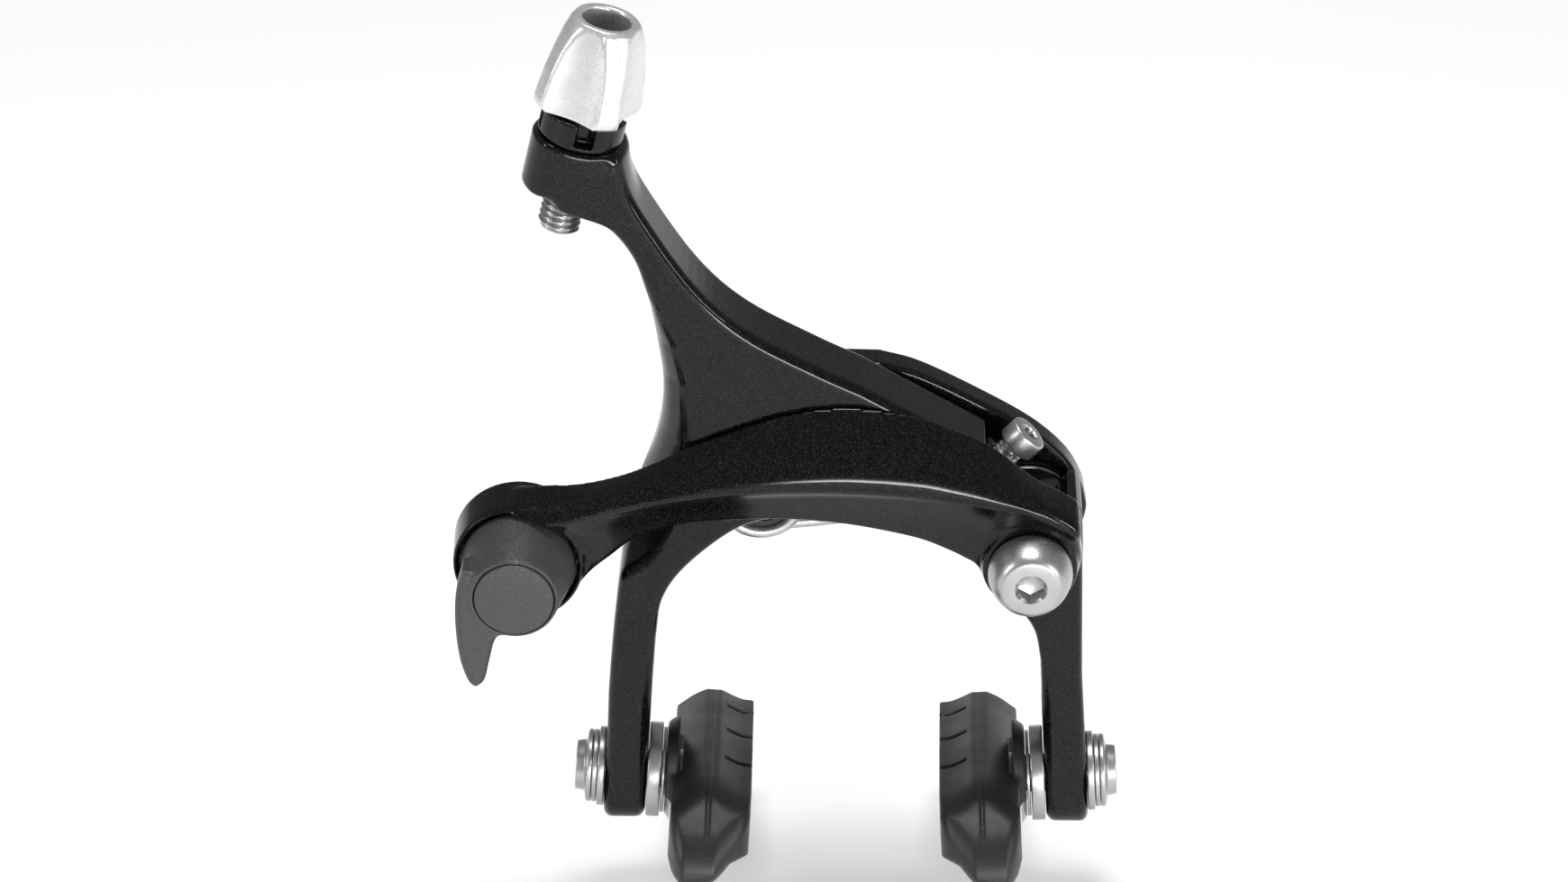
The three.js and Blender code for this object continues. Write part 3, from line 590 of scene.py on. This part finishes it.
def make_side_pivot_bolt():
    sweep = math.radians(62)
    arc = []
    for i in range(13):
        t = sweep * i / 12
        arc.append((DOME_FLAT + (DOME_R - DOME_FLAT) * math.sin(t) / math.sin(sweep),
                    DOME_END + (DOME_BASE - 1.2 - DOME_END) * (1 - math.cos(t)) / (1 - math.cos(sweep))))
    rows = socket(4, DOME_END, DOME_END + 2.6, 0.4)
    rows += [(DOME_FLAT - 0.12, DOME_END), (DOME_FLAT, DOME_END + 0.03)] + arc[1:]
    rows += eased([arc[-1], (DOME_R, DOME_BASE), (3.0, DOME_BASE), (3.0, -2.8), (0, -2.8)], 0.25)[1:]
    piece("side_pivot_bolt_detail", plain_y(rows, *SIDE, segments=96), ZINC, "base",
          ["side_pivot_bolt"], sharp=38)


def make_spring():
    """One wire in two lengths that meet in the coil."""
    centre, coil_r, wire_r, turns = (-13.0, -12.8), 5.9, 0.95, 1.25
    rear, front = -5.6, -8.2
    steps = round(12 * turns)
    coil = []
    for i in range(steps + 1):
        a = -math.pi / 2 - 2 * math.pi * turns * i / steps
        coil.append((centre[0] + coil_r * math.cos(a), rear + (front - rear) * i / steps,
                     centre[1] + coil_r * math.sin(a)))
    right_leg = [(24.4, -6.9, -25.2), (15, -6.2, -20.4), (4, -5.6, -17.2), (-6, -5.5, -18.0)]
    left_leg = [(-20.6, -8, -18), (-25.2, -7.9, -23.5), (-30.6, -7.6, -29.6)]
    middle = steps // 2
    right = piece("spring_right_leg", wire(right_leg + coil[:middle + 1], wire_r), STEEL,
                  "base", ["return_spring"], at_once=False)
    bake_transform(right)
    left = piece("spring_left_leg", wire(coil[middle:] + left_leg, wire_r), STEEL,
                 "base", ["return_spring"], at_once=False)
    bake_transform(left)


# ---------------------------------------------------------------- arms


def leg_side(f):
    """The side view that both legs share: full depth above, round at the foot."""
    centre = LEG_FOOT + LEG_HALF_DEPTH
    return np.hypot(f.y - ARM_MID, np.minimum(f.z - centre, 0)) - LEG_HALF_DEPTH


def shoe_slot(f, side):
    """The slot for the shoe bolt, square to the splayed foot."""
    x, z = rotated(side * f.x, f.z, (LEG_MID, SHOE_BOLT_Z), CANT)
    reach = np.clip(z, SHOE_BOLT_Z, SHOE_BOLT_Z + REACH_TRAVEL)
    return meet(np.hypot(f.y - ARM_MID, z - reach) - SLOT_HALF, between(x, LEG_MID - 6, LEG_MID + 6))


Y_OUTLINE = outline(
    (-33.6, 49.5),
    [(-29.0, 40.3), (-22.1, 29.6), (-15, 22.7), (-5, 16.9), (2, 13.4)],
    (23.2, 1.0), (22.2, -5.2), (20.5, -7.0),
    [(13, -9.0), (6, -9.7), (-4, -9.5), (-10, -8.9), (-16.4, -10.8), (-23.8, -17.2), (-27.6, -23.2),
     (-28.7, -30)],
    (-leg_x(-1, LEG_TOP), LEG_TOP), (-leg_x(-1, LEG_FOOT), LEG_FOOT),
    (-leg_x(1, LEG_FOOT), LEG_FOOT), (-leg_x(1, LEG_TOP), LEG_TOP),
    [(-35.9, -38), (-34.6, -24), (-32.6, -11), (-28.6, 1), (-27.3, 10.5), (-28.2, 20), (-29.6, 29.5),
     (-31.6, 35.2), (-35.4, 39.8), (-41, 42.4)],
)


def make_y_arm():
    f = Field((-50.5, ARM_FRONT, LEG_FOOT), (23.5, ARM_REAR, 53.6), CAST_STEP)
    depth = leg_side(f)
    t, r = f.along(ADJUSTER, ADJUSTER_UP)
    head = meet(r - 6.8, between(t, 6.4, HEAD_HIGH), 0.5)
    plate = flat_distance(f.x, f.z, Y_OUTLINE)
    arm = meet(fuse(plate, head, 4.0), depth, 1.5)
    # The wide bevel down the left of the face: it leaves the face along this line and falls away to the left.
    heights = (-20, -6, 4, 13.6, 20, 26, 31, 36, 40, 44, 60)
    line_x = (-24.4, -24.2, -23.4, -23.6, -25.0, -27.4, -30.6, -34.6, -40, -52, -70)
    leaves = np.interp(f.z[0, 0], heights, line_x).reshape(1, 1, -1).astype(np.float32)
    away = leaves - f.x
    slope = 1.05
    bevel = (ARM_FRONT + slope * away + 0.04 * np.maximum(away, 0) ** 2 - f.y) / math.hypot(1, slope)
    fade = np.clip((f.z + 22) / 16, 0, 1)
    arm = meet(arm, bevel * fade - 3 * (1 - fade), 1.4)
    # The end under the centring screw.
    pocket_x, pocket_z = rotated(f.x, f.z, (SCREW_TIP[0], SCREW_TIP[2]), -SCREW_LEAN)
    pocket = meet(between(pocket_x - SCREW_TIP[0], -4.0, 8.0), -(pocket_z - SCREW_TIP[2] + 0.45))
    arm = cut(arm, pocket, 0.3)
    arm = cut(arm, r - 3.3, 0.3)
    arm = cut(arm, f.rod(AT_CENTRE, REARWARD, BUSH_BORE, -30, 0), 0.3)
    arm = cut(arm, f.rod(AT_CENTRE, REARWARD, 6.2, -30, -16.2), 0.4)
    arm = cut(arm, shoe_slot(f, -1), 0.5)
    piece("y_arm_detail", f.mesh(arm), PAINT, "y_arm", ["y_arm"])


C_OUTLINE = outline(
    (34.9, -10), (34.7, -7.2), (33.8, -5.8), (32.4, -6.0), (31.7, -8.2), (27.4, -7.4),
    (24.4, -6.2), (23.6, -7.2), (22.0, -9.0), (19.4, -14),
    [(20.2, -18), (22.8, -21.8), (26.0, -24.8), (28.2, -28.4), (29.2, -33.4)],
    (leg_x(-1, LEG_TOP), LEG_TOP), (leg_x(-1, LEG_FOOT), LEG_FOOT),
    (leg_x(1, LEG_FOOT), LEG_FOOT), (leg_x(1, LEG_TOP), LEG_TOP), (35.6, -36),
)
# Stations along the arch: x, top at the rear, ridge, lower front edge.
ARCH = [
    (-54, -6.0, -7.6, -24), (-46, -3.0, -5.4, -21), (-40.5, -2.6, -4.2, -18.2),
    (-35.7, -1.6, -2.8, -14.2), (-30.8, 0.1, -2.0, -10.2), (-24, 3.5, -0.9, -8.0),
    (-17, 6.5, 0.1, -7.3), (-9, 9.2, 0.7, -7.1), (0, 10.4, 0.9, -7.9),
    (9.7, 9.1, 0.5, -10.0), (15, 7.2, -0.1, -12.2), (21, 4.4, -1.0, -15.4),
    (27, -0.4, -2.1, -17), (31.9, -3.3, -5.0, -15), (36, -6, -8.5, -13),
]
ARCH_REAR, ARCH_LOWER, ARCH_RIDGE = -21.4, -24.0, -29.2


def arch_line(f, column):
    """One of the arch's lines, smooth in x, on the grid."""
    curve = smooth([(station[0], station[column]) for station in ARCH], 8)
    return np.interp(f.x[:, 0, 0], curve[:, 0], curve[:, 1]).reshape(-1, 1, 1).astype(np.float32)


def make_arch(f):
    top, ridge, low = (arch_line(f, column) for column in (1, 2, 3))
    upper = facet(f.y, f.z, (ARCH_REAR - 0.6, top + 0.1), (ARCH_RIDGE, ridge))
    share = np.clip((f.y - ARCH_RIDGE) / (ARCH_REAR - ARCH_RIDGE), 0, 1)
    upper = upper - 0.35 * np.sin(np.pi * share)  # the top face is slightly crowned
    lower = facet(f.y, f.z, (ARCH_RIDGE, ridge), (ARCH_LOWER, low))
    lower = lower + 0.9 * np.sin(np.pi * np.clip((f.y - ARCH_RIDGE) / (ARCH_LOWER - ARCH_RIDGE), 0, 1))
    under = facet(f.y, f.z, (ARCH_LOWER, low), (ARCH_REAR, low + 0.9))
    body = meet(meet(upper, lower, 1.9), under, 1.0)
    body = meet(body, f.y - ARCH_REAR, 0.5)
    return meet(body, between(f.x, -49.5, 34.3), 1.0)


def make_c_arm():
    f = Field((-58.7, ARCH_RIDGE, LEG_FOOT), (37.3, ARM_REAR, 10.8), CAST_STEP)
    # The quick release's housing leans back and up from its front ring.
    front, rear = -26.2, -18.8
    share = np.clip((f.y - front) / (rear - front), 0, 1)
    middle_x, middle_z = RELEASE[0] + 0.1 * share, RELEASE[1] + 0.75 * share
    housing = np.hypot(f.x - middle_x, f.z - middle_z) - (9.6 + 0.35 * share)
    housing = meet(housing, between(f.y, front, rear), 0.7)
    body = fuse(make_arch(f), housing, 1.6)
    boss_r = np.interp(f.y[0, :, 0], (BOSS_FRONT, -23), (6.9, 7.6)).reshape(1, -1, 1)
    boss = np.hypot(f.x - SIDE[0], f.z - SIDE[1]) - boss_r
    boss = meet(boss, between(f.y, BOSS_FRONT, ARM_REAR), 0.4)
    leg = meet(flat_distance(f.x, f.z, C_OUTLINE), leg_side(f), 1.4)
    body = fuse(body, fuse(boss, leg, 0.8), 1.2)
    lug_u, lug_t = rotated(f.x, f.z, (SCREW_TIP[0], SCREW_TIP[2]), -SCREW_LEAN)
    lug_u, lug_t = lug_u - SCREW_TIP[0], lug_t - SCREW_TIP[2]
    lug = meet(between(lug_u, -2.7, 3.4), between(lug_t, 0.9, 3.4), 0.5)
    lug = meet(lug, between(f.y, LUG_FRONT, LUG_REAR), 0.5)
    foot = flat_distance(f.x, f.z, [(19.6, -6), (25, -3), (27.4, -8), (24, -9.5)])
    foot = meet(foot, between(f.y, LUG_FRONT, LUG_REAR), 0.5)
    body = fuse(body, fuse(lug, foot, 0.8), 0.6)
    body = cut(body, f.rod(SCREW_TIP, SCREW_UP, 2.2, -3, 14), 0.2)
    body = cut(body, f.rod(AT_SIDE, REARWARD, BUSH_BORE, -60, 0), 0.25)
    body = cut(body, f.rod(AT_SIDE, REARWARD, DOME_R + 0.45, -60, BOSS_FRONT), 0.35)
    body = cut(body, f.rod(AT_RELEASE, REARWARD, 9.05, -60, -24.4), 0.3)
    body = cut(body, f.rod(AT_RELEASE, REARWARD, 3.8, -60, -10), 0.3)
    body = cut(body, shoe_slot(f, 1), 0.5)
    piece("c_arm_detail", f.mesh(body), PAINT, "c_arm", ["c_arm"])


def make_sliders():
    """Moulded blocks on the arms that the spring's ends rest in."""
    for side, low, high, at, axis, body in (
        ("left", (-33.5, ARM_REAR + 0.25, -31.9), (-28.8, -5.2, -27.7),
         (-30.3, -7.6, -29.3), (5.4, -0.3, 6.1), "y_arm"),
        ("right", (21.8, ARM_REAR + 0.25, -27.5), (27.4, -5.4, -23.4),
         (24.4, -6.9, -25.2), (-8.5, 0.7, 3.4), "c_arm"),
    ):
        f = Field(low, high, 0.14)
        block = meet(meet(between(f.x, low[0], high[0]), between(f.z, low[2], high[2]), 0.5),
                     between(f.y, low[1], high[1]), 0.4)
        direction = tuple(Vector(axis).normalized())
        block = cut(block, f.rod(at, direction, 1.3, -4, 8), 0.15)
        node = f"{side}_spring_slider"
        piece(f"{node}_detail", f.mesh(block), PLASTIC, body, [node])


def make_centring_screw():
    low, high, r = 6.0, 9.2, 3.0
    rows = [(0, 0), (1.4, 0)] + threaded(2.0, 0.3, low - 0.4, 0.7)
    rows += eased([(1.9, low - 0.2), (1.9, low), (r, low), (r, high), (1.9, high)], 0.45)
    rows += socket(2.5, high, high - 1.8, 0.25)[::-1]
    piece("centring_screw_detail", turned(rows, SCREW_TIP, SCREW_UP), ZINC, "centring_screw",
          ["centring_screw"], sharp=38)


# ---------------------------------------------------------------- cable adjuster


def angle_about_adjuster(f):
    """Angle about the adjuster's axis, nought towards the front."""
    across = (f.x - ADJUSTER[0]) * math.cos(ADJUSTER_LEAN) - (f.z - ADJUSTER[2]) * math.sin(ADJUSTER_LEAN)
    return np.arctan2(f.y - ADJUSTER[1], across) + math.pi / 2


def make_adjuster():
    up = ADJUSTER_UP
    low, high, outer = HEAD_HIGH + 0.3, 19.2, 6.2
    f = Field((-47, ARM_MID - 6.6, 50), (-31, ARM_MID + 6.6, 58), SMALL_STEP)
    t, r = f.along(ADJUSTER, up)
    collar = meet(meet(r - outer, 3.5 - r), between(t, low, high), 0.25)
    angle = angle_about_adjuster(f) - 0.1
    fold = (angle + math.pi / 4) % (math.pi / 2) - math.pi / 4
    slot = meet(np.abs(np.sin(fold) * r) - 1.35, -(t - (high - 3.3)))
    collar = cut(collar, meet(slot, 4.1 - r), 0.2)
    piece("adjuster_collar_detail", f.mesh(collar), PAINT, "y_arm", ["adjuster_collar"])

    rows = eased([(1.3, 1.0), (2.2, 0.0), (2.6, 0.0)], 0.2)
    rows += threaded(3.1, 0.35, BARREL_TOP - 0.4, 1.0, 0.5)
    rows += [(2.8, BARREL_TOP), (1.3, BARREL_TOP), (1.3, 1.0)]
    piece("adjuster_barrel_detail", turned(rows, ADJUSTER, up), ZINC, "adjuster",
          ["adjuster_barrel"], sharp=38)

    liner = ring(1.4, 3.1, BARREL_TOP + 0.3, BARREL_TOP + 1.3)
    piece("housing_liner_detail", turned(liner, ADJUSTER, up), PLASTIC, "adjuster_liner",
          ["housing_liner"], sharp=40)
    make_knob()


def make_knob():
    """Tapered knob with four broad hollows, each between two ribs that end in lobes at the foot."""
    f = Field((-47.2, ARM_MID - 8.3, 54), (-26, ARM_MID + 8.3, 73.2), SMALL_STEP)
    t, r = f.along(ADJUSTER, ADJUSTER_UP)
    profile = [(7.3, KNOB_LOW), (7.85, KNOB_LOW + 0.5), (8.0, KNOB_LOW + 1.4), (7.9, KNOB_LOW + 2.6),
               (7.45, KNOB_LOW + 6), (6.7, KNOB_LOW + 9.4), (5.85, KNOB_LOW + 12.2), (5.15, KNOB_HIGH - 0.5),
               (4.6, KNOB_HIGH), (-20, KNOB_HIGH), (-20, KNOB_LOW)]
    body = flat_distance(r, t, profile)
    count, turn = 4, 0.36
    quarter = 2 * math.pi / count
    angle = angle_about_adjuster(f) + turn
    fold = (angle + quarter / 2) % quarter - quarter / 2
    u, v = r * np.cos(fold), r * np.sin(fold)
    hollow_r, foot, lean = 10.8, 5.85, math.tan(math.radians(4))
    hollow = np.hypot(u - (foot + hollow_r - (t - KNOB_LOW) * lean), v) - hollow_r
    knob = cut(body, hollow, 0.3)
    # A sharp groove down the right of each hollow runs out half way.
    below = KNOB_HIGH - t
    groove_side = v - (1.9 + below * 0.13)
    groove_floor = 4.55 + below * 0.28
    groove = meet(np.abs(groove_side) - 0.9 * (u - groove_floor), below - 9.5)
    knob = cut(knob, groove, 0.12)
    knob = cut(knob, meet(r - 3.55, -(t - BARREL_TOP - 0.3)), 0.35)
    knob = cut(knob, r - 3.4, 0.2)
    piece("adjuster_knob_detail", f.mesh(knob), POLISHED, "adjuster", ["adjuster_knob"])


# ---------------------------------------------------------------- quick release and cable anchor


def make_release():
    rear, front, foot_r, end_r = -24.7, -35.8, 8.4, 6.35
    x0, z0 = RELEASE
    f = Field((-59, front, -31), (-39, rear, -5), LEVER_STEP)
    r = np.hypot(f.x - x0, f.z - z0)
    taper = np.interp(f.y[0, :, 0], (front, rear - 1.6, rear), (end_r, foot_r, foot_r)).reshape(1, -1, 1)
    hub = meet((r - taper) * 0.98, between(f.y, front + 0.3, rear), 0.5)
    fang_outline = outline(
        (-56.2, -9.5),
        [(-57.3, -14), (-57.5, -19.5), (-57.0, -25), (-55.9, -28.7), (-54.8, -29.8)],
        [(-53.5, -28.6), (-52.7, -25.4), (-51.7, -21.6), (-49.8, -19.4)],
        (-48, -12),
    )
    fang = meet(flat_distance(f.x, f.z, fang_outline), between(f.y, -35.3, -30.2), 1.1)
    lever = fuse(hub, fang, 0.9)
    lever = cut(lever, meet(r - 6.02, f.y - (front + 1.3)), 0.12)
    lever = cut(lever, r - 2.8)
    piece("release_lever_detail", f.mesh(lever), SATIN, "quick_release",
          ["release_lever"])

    cap = [(0, front), (5.0, front), (5.75, front + 0.12), (5.88, front + 0.35), (5.88, front + 1.0),
           (0, front + 1.0)]
    piece("release_cap_detail", plain_y(cap, x0, z0, 96), SATIN, "quick_release",
          ["release_cap"], sharp=50)

    throw, pin_r, angle = 1.6, 1.2, math.radians(-45)
    f = Field((x0 - 4, -34.4, z0 - 4), (x0 + 4, -16, z0 + 4), 0.2)
    shaft = fuse(f.rod(AT_RELEASE, REARWARD, 2.5, -34.2, -24.0, 0.2),
                 f.rod(AT_RELEASE, REARWARD, 3.5, -24.1, -18.4, 0.3))
    pin_at = (x0 - throw * math.cos(angle), 0, z0 + throw * math.sin(angle))
    shaft = fuse(shaft, f.rod(pin_at, REARWARD, pin_r, -18.8, -16.1, 0.2), 0.15)
    piece("release_shaft_detail", f.mesh(shaft), ZINC, "quick_release", ["release_shaft"])


def make_anchor():
    x0, z0 = RELEASE[0], RELEASE[1] - 1.13
    bolt_z = z0 - 2.4
    f = Field((x0 - 5.4, -18.2, z0 - 5.8), (x0 + 5.4, -14.3, z0 + 5.8), SMALL_STEP)
    block = meet(meet(between(f.x, x0 - 5.2, x0 + 5.2), between(f.z, z0 - 5.6, z0 + 5.6), 1.2),
                 between(f.y, -18.0, -14.5), 0.3)
    slot = meet(between(f.x, x0 - 3.4, x0 + 3.4), between(f.z, z0 - 1.6, z0 + 1.6), 0.4)
    block = cut(block, meet(slot, f.y + 15.7), 0.15)
    block = cut(block, f.rod((x0, 0, bolt_z), REARWARD, 1.8, -15.9, -10), 0.15)
    piece("anchor_block_detail", f.mesh(block), ZINC, "cable_anchor", ["anchor_block"])

    f = Field((x0 - 4.8, -14.4, z0 - 5.6), (x0 + 4.8, -12.8, z0 + 4.6), 0.12)
    clamp = meet(meet(between(f.x, x0 - 4.6, x0 + 4.6), between(f.z, z0 - 5.4, z0 + 4.4), 1.0),
                 between(f.y, -14.2, -13.0), 0.2)
    clamp = cut(clamp, f.rod((x0, 0, bolt_z), REARWARD, 1.9, -20, -10), 0.1)
    clamp = cut(clamp, np.hypot(f.x - (x0 + 3.2), f.y + 14.4) - 0.75, 0.1)
    piece("cable_clamp_plate_detail", f.mesh(clamp), ZINC, "cable_anchor", ["cable_clamp_plate"])

    rows = [(0, -15.6)] + threaded(1.5, -15.5, -12.9, 0.5)
    rows += eased([(1.5, -12.7), (3.6, -12.7), (3.6, -9.1), (2.6, -9.1)], 0.35)
    rows += socket(4, -9.1, -11.2, 0.3)[::-1]
    piece("cable_clamp_bolt_detail", plain_y(rows, x0, bolt_z), ZINC, "cable_anchor",
          ["cable_clamp_bolt"], sharp=38)


# ---------------------------------------------------------------- brake shoes

SHOE_FACE, SHOE_HALF, SHOE_DROP, SHOE_PITCH = 14.5, 27.0, -1.9, math.radians(13)
SHOE_CURVE_R = 620.0  # the shoe bends with the rim
# Section of the shoe: x outwards from the braking face, z from its middle.
SHOE_SECTION = outline(
    (0, 5.2),
    [(1.8, 5.35), (3.5, 6.1), (5.0, 7.2)],
    (7.7, 7.2), (12.1, 3.6), (12.1, -3.2),
    [(11.2, -5.4), (9.4, -6.3), (6.6, -5.9), (4.4, -5.1), (2.6, -3.4)],
    (0, -2.9),
)


def shoe_frame(f):
    """Grid coordinates in the right shoe's own frame: outwards, along and up."""
    x, z = rotated(f.x, f.z, (LEG_MID, SHOE_BOLT_Z), CANT)
    x, y = np.broadcast_arrays(x, f.y)
    y, z = rotated(y, z, (ARM_MID, SHOE_BOLT_Z), -SHOE_PITCH)
    along = y - ARM_MID
    return x - SHOE_FACE, along, z - SHOE_BOLT_Z - SHOE_DROP + along ** 2 / (2 * SHOE_CURVE_R)


def shoe_pad():
    f = Field((13.4, -44, -73.5), (28.6, 14, -44.5), 0.25)
    u, along, up = shoe_frame(f)
    section = flat_distance(u, up, SHOE_SECTION)
    # The front end is cut back on the braking side and at the outer corner.
    front = -along - SHOE_HALF + np.maximum(5 - u, 0) + 1.4 * np.maximum(u - 9.8, 0)
    body = meet(section, meet(front * 0.7, along - SHOE_HALF, 1.0), 1.6)
    roll = up - 7.5 + 0.045 * np.maximum(-along - 13, 0) ** 2
    body = meet(body, roll * 0.8, 2.0)
    drop = up + SHOE_DROP
    cup = np.hypot(along, drop) - 8.6 + 0.7 * np.maximum(u - 11.5, 0)
    body = fuse(body, meet(meet(cup, between(u, 11.2, 13.2), 0.4), -2 - drop, 0.4), 0.8)
    parting_line = np.hypot(u - 6.4, np.maximum(body, -0.2)) - 0.26
    body = fuse(body, meet(parting_line, np.abs(along) - SHOE_HALF + 2), 0.1)
    for start in (19.0, 7.6, -4.8):
        groove = np.hypot(along - start - 0.12 * (u - 2), np.maximum(5.1 - up, 0)) - 0.5
        body = cut(body, meet(groove, between(u, -2, 4.3), 0.2), 0.12)
    body = cut(body, meet(np.hypot(along, drop) - 2.75, 11.3 - u), 0.1)
    return f.mesh(body)


def make_shoes():
    at = (0, ARM_MID, SHOE_BOLT_Z)
    inner, outer = LEG_MID - LEG_HALF, LEG_MID + LEG_HALF

    def lathe(profile, segments=72):
        vertices, faces = turned(profile, at, (1, 0, 0), segments)
        x, z = rotated(vertices[:, 0] / MM, vertices[:, 2] / MM, (LEG_MID, SHOE_BOLT_Z), -CANT)
        return np.stack([x, vertices[:, 1] / MM, z], axis=1) * MM, faces

    bolt = [(0, 25.9)] + threaded(2.3, 26.0, 27.4, 0.5, 0.2)
    bolt += eased([(2.9, 27.8), (2.9, 39.02), (5.6, 39.02), (5.6, 39.75), (3.95, 40.1), (3.75, 41.5),
                   (2.6, 41.5)], 0.18)
    bolt += socket(4, 41.5, 39.6, 0.3)[::-1]
    stud = [(0, 25.2)] + eased([(3.2, 25.2), (3.2, 26.75), (7.7, 26.8), (6.6, 27.65), (2.6, 27.65)], 0.12)
    stud += [(2.6, 25.6), (0, 25.6)]
    turned_parts = {
        "shoe_stud": (stud, "shoe", 40),
        "inner_convex_washer": (ring(3.3, 6.6, 27.76, 28.3, 0.15), "shoe_bolt", 40),
        "inner_concave_washer": (ring(3.3, 7.3, 28.4, inner - 0.1, 0.25), "shoe_bolt", 40),
        "outer_concave_washer": (ring(3.3, 6.1, outer + 0.1, 38.12, 0.22), "shoe_bolt", 40),
        "outer_flat_washer": (ring(3.3, 5.6, 38.22, 38.92, 0.12), "shoe_bolt", 40),
        "shoe_bolt": (bolt, "shoe_bolt", 38),
    }
    parts = {"shoe_pad": (shoe_pad(), RUBBER, "rubber", "shoe", None)}
    for name, (profile, body, sharp) in turned_parts.items():
        parts[name] = (lathe(profile), ZINC, "zinc", body, sharp)
    for name, (right, material, slot, body, sharp) in parts.items():
        for side, mesh_data in (("right", right), ("left", mirrored(right))):
            node = f"{side}_{name}"
            piece(f"{node}_detail", mesh_data, material, f"{side}_{body}", [node], sharp=sharp)


# ---------------------------------------------------------------- floor, light and camera


def make_stage():
    bpy.ops.mesh.primitive_plane_add(size=6, location=(0, 0, cad_low.z - 0.006))
    floor = bpy.context.object
    floor.name = "floor"
    n = Nodes("pale_floor")
    n.set(Base_Color=(0.9, 0.9, 0.9, 1), Roughness=0.9)
    n.shader.inputs["Emission Color"].default_value = (1, 1, 1, 1)
    n.shader.inputs["Emission Strength"].default_value = 0.2
    n.shader.inputs["Specular IOR Level"].default_value = 0.1
    floor.data.materials.append(n.material)

    world = bpy.data.worlds.new("studio")
    bpy.context.scene.world = world
    world.use_nodes = True
    background = world.node_tree.nodes["Background"]
    background.inputs["Color"].default_value = (1, 1, 1, 1)
    background.inputs["Strength"].default_value = 0.27

    target = Vector((-0.008, -0.016, -0.002))
    for name, place, size, power in (
        ("overhead", (0.0, 0.03, 0.80), (0.34, 0.24), 4.2),
        ("left_strip", (-0.62, -0.30, 0.26), (0.04, 0.34), 1.5),
        ("right_strip", (0.62, -0.36, 0.20), (0.04, 0.34), 1.5),
        ("front_low", (0.20, -0.80, 0.10), (0.55, 0.08), 5.0),
    ):
        light = bpy.data.lights.new(name, "AREA")
        light.shape = "RECTANGLE"
        light.size, light.size_y = size
        light.energy = power
        lamp = bpy.data.objects.new(name, light)
        lamp.location = place
        lamp.rotation_mode = "QUATERNION"
        lamp.rotation_quaternion = (Vector(place) - target).to_track_quat("Z", "Y")
        bpy.context.scene.collection.objects.link(lamp)


def make_camera():
    azimuth, elevation, distance = math.radians(1), math.radians(30), 0.733
    target = Vector((-0.0095, -0.016, 0.002))
    level = math.cos(elevation)
    back = Vector((math.sin(azimuth) * level, -math.cos(azimuth) * level, math.sin(elevation)))
    right = Vector((math.cos(azimuth), math.sin(azimuth), 0))
    up = back.cross(right)
    camera = bpy.data.objects.new("camera", bpy.data.cameras.new("camera"))
    camera.data.lens, camera.data.sensor_width = 113.8, 36.0
    camera.data.clip_start, camera.data.clip_end = 0.01, 20.0
    turn = Matrix((right, up, back)).transposed().to_4x4()
    camera.matrix_world = Matrix.Translation(target + back * distance) @ turn
    bpy.context.scene.collection.objects.link(camera)
    bpy.context.scene.camera = camera


make_camera()
make_stage()
make_fixing_bolt()
make_serrated_washer()
make_bracket()
make_bearings()
make_side_pivot_bolt()
make_spring()
make_y_arm()
make_c_arm()
make_sliders()
make_centring_screw()
make_adjuster()
make_release()
make_anchor()
make_shoes()
bpy.context.scene.view_settings.view_transform = "Standard"
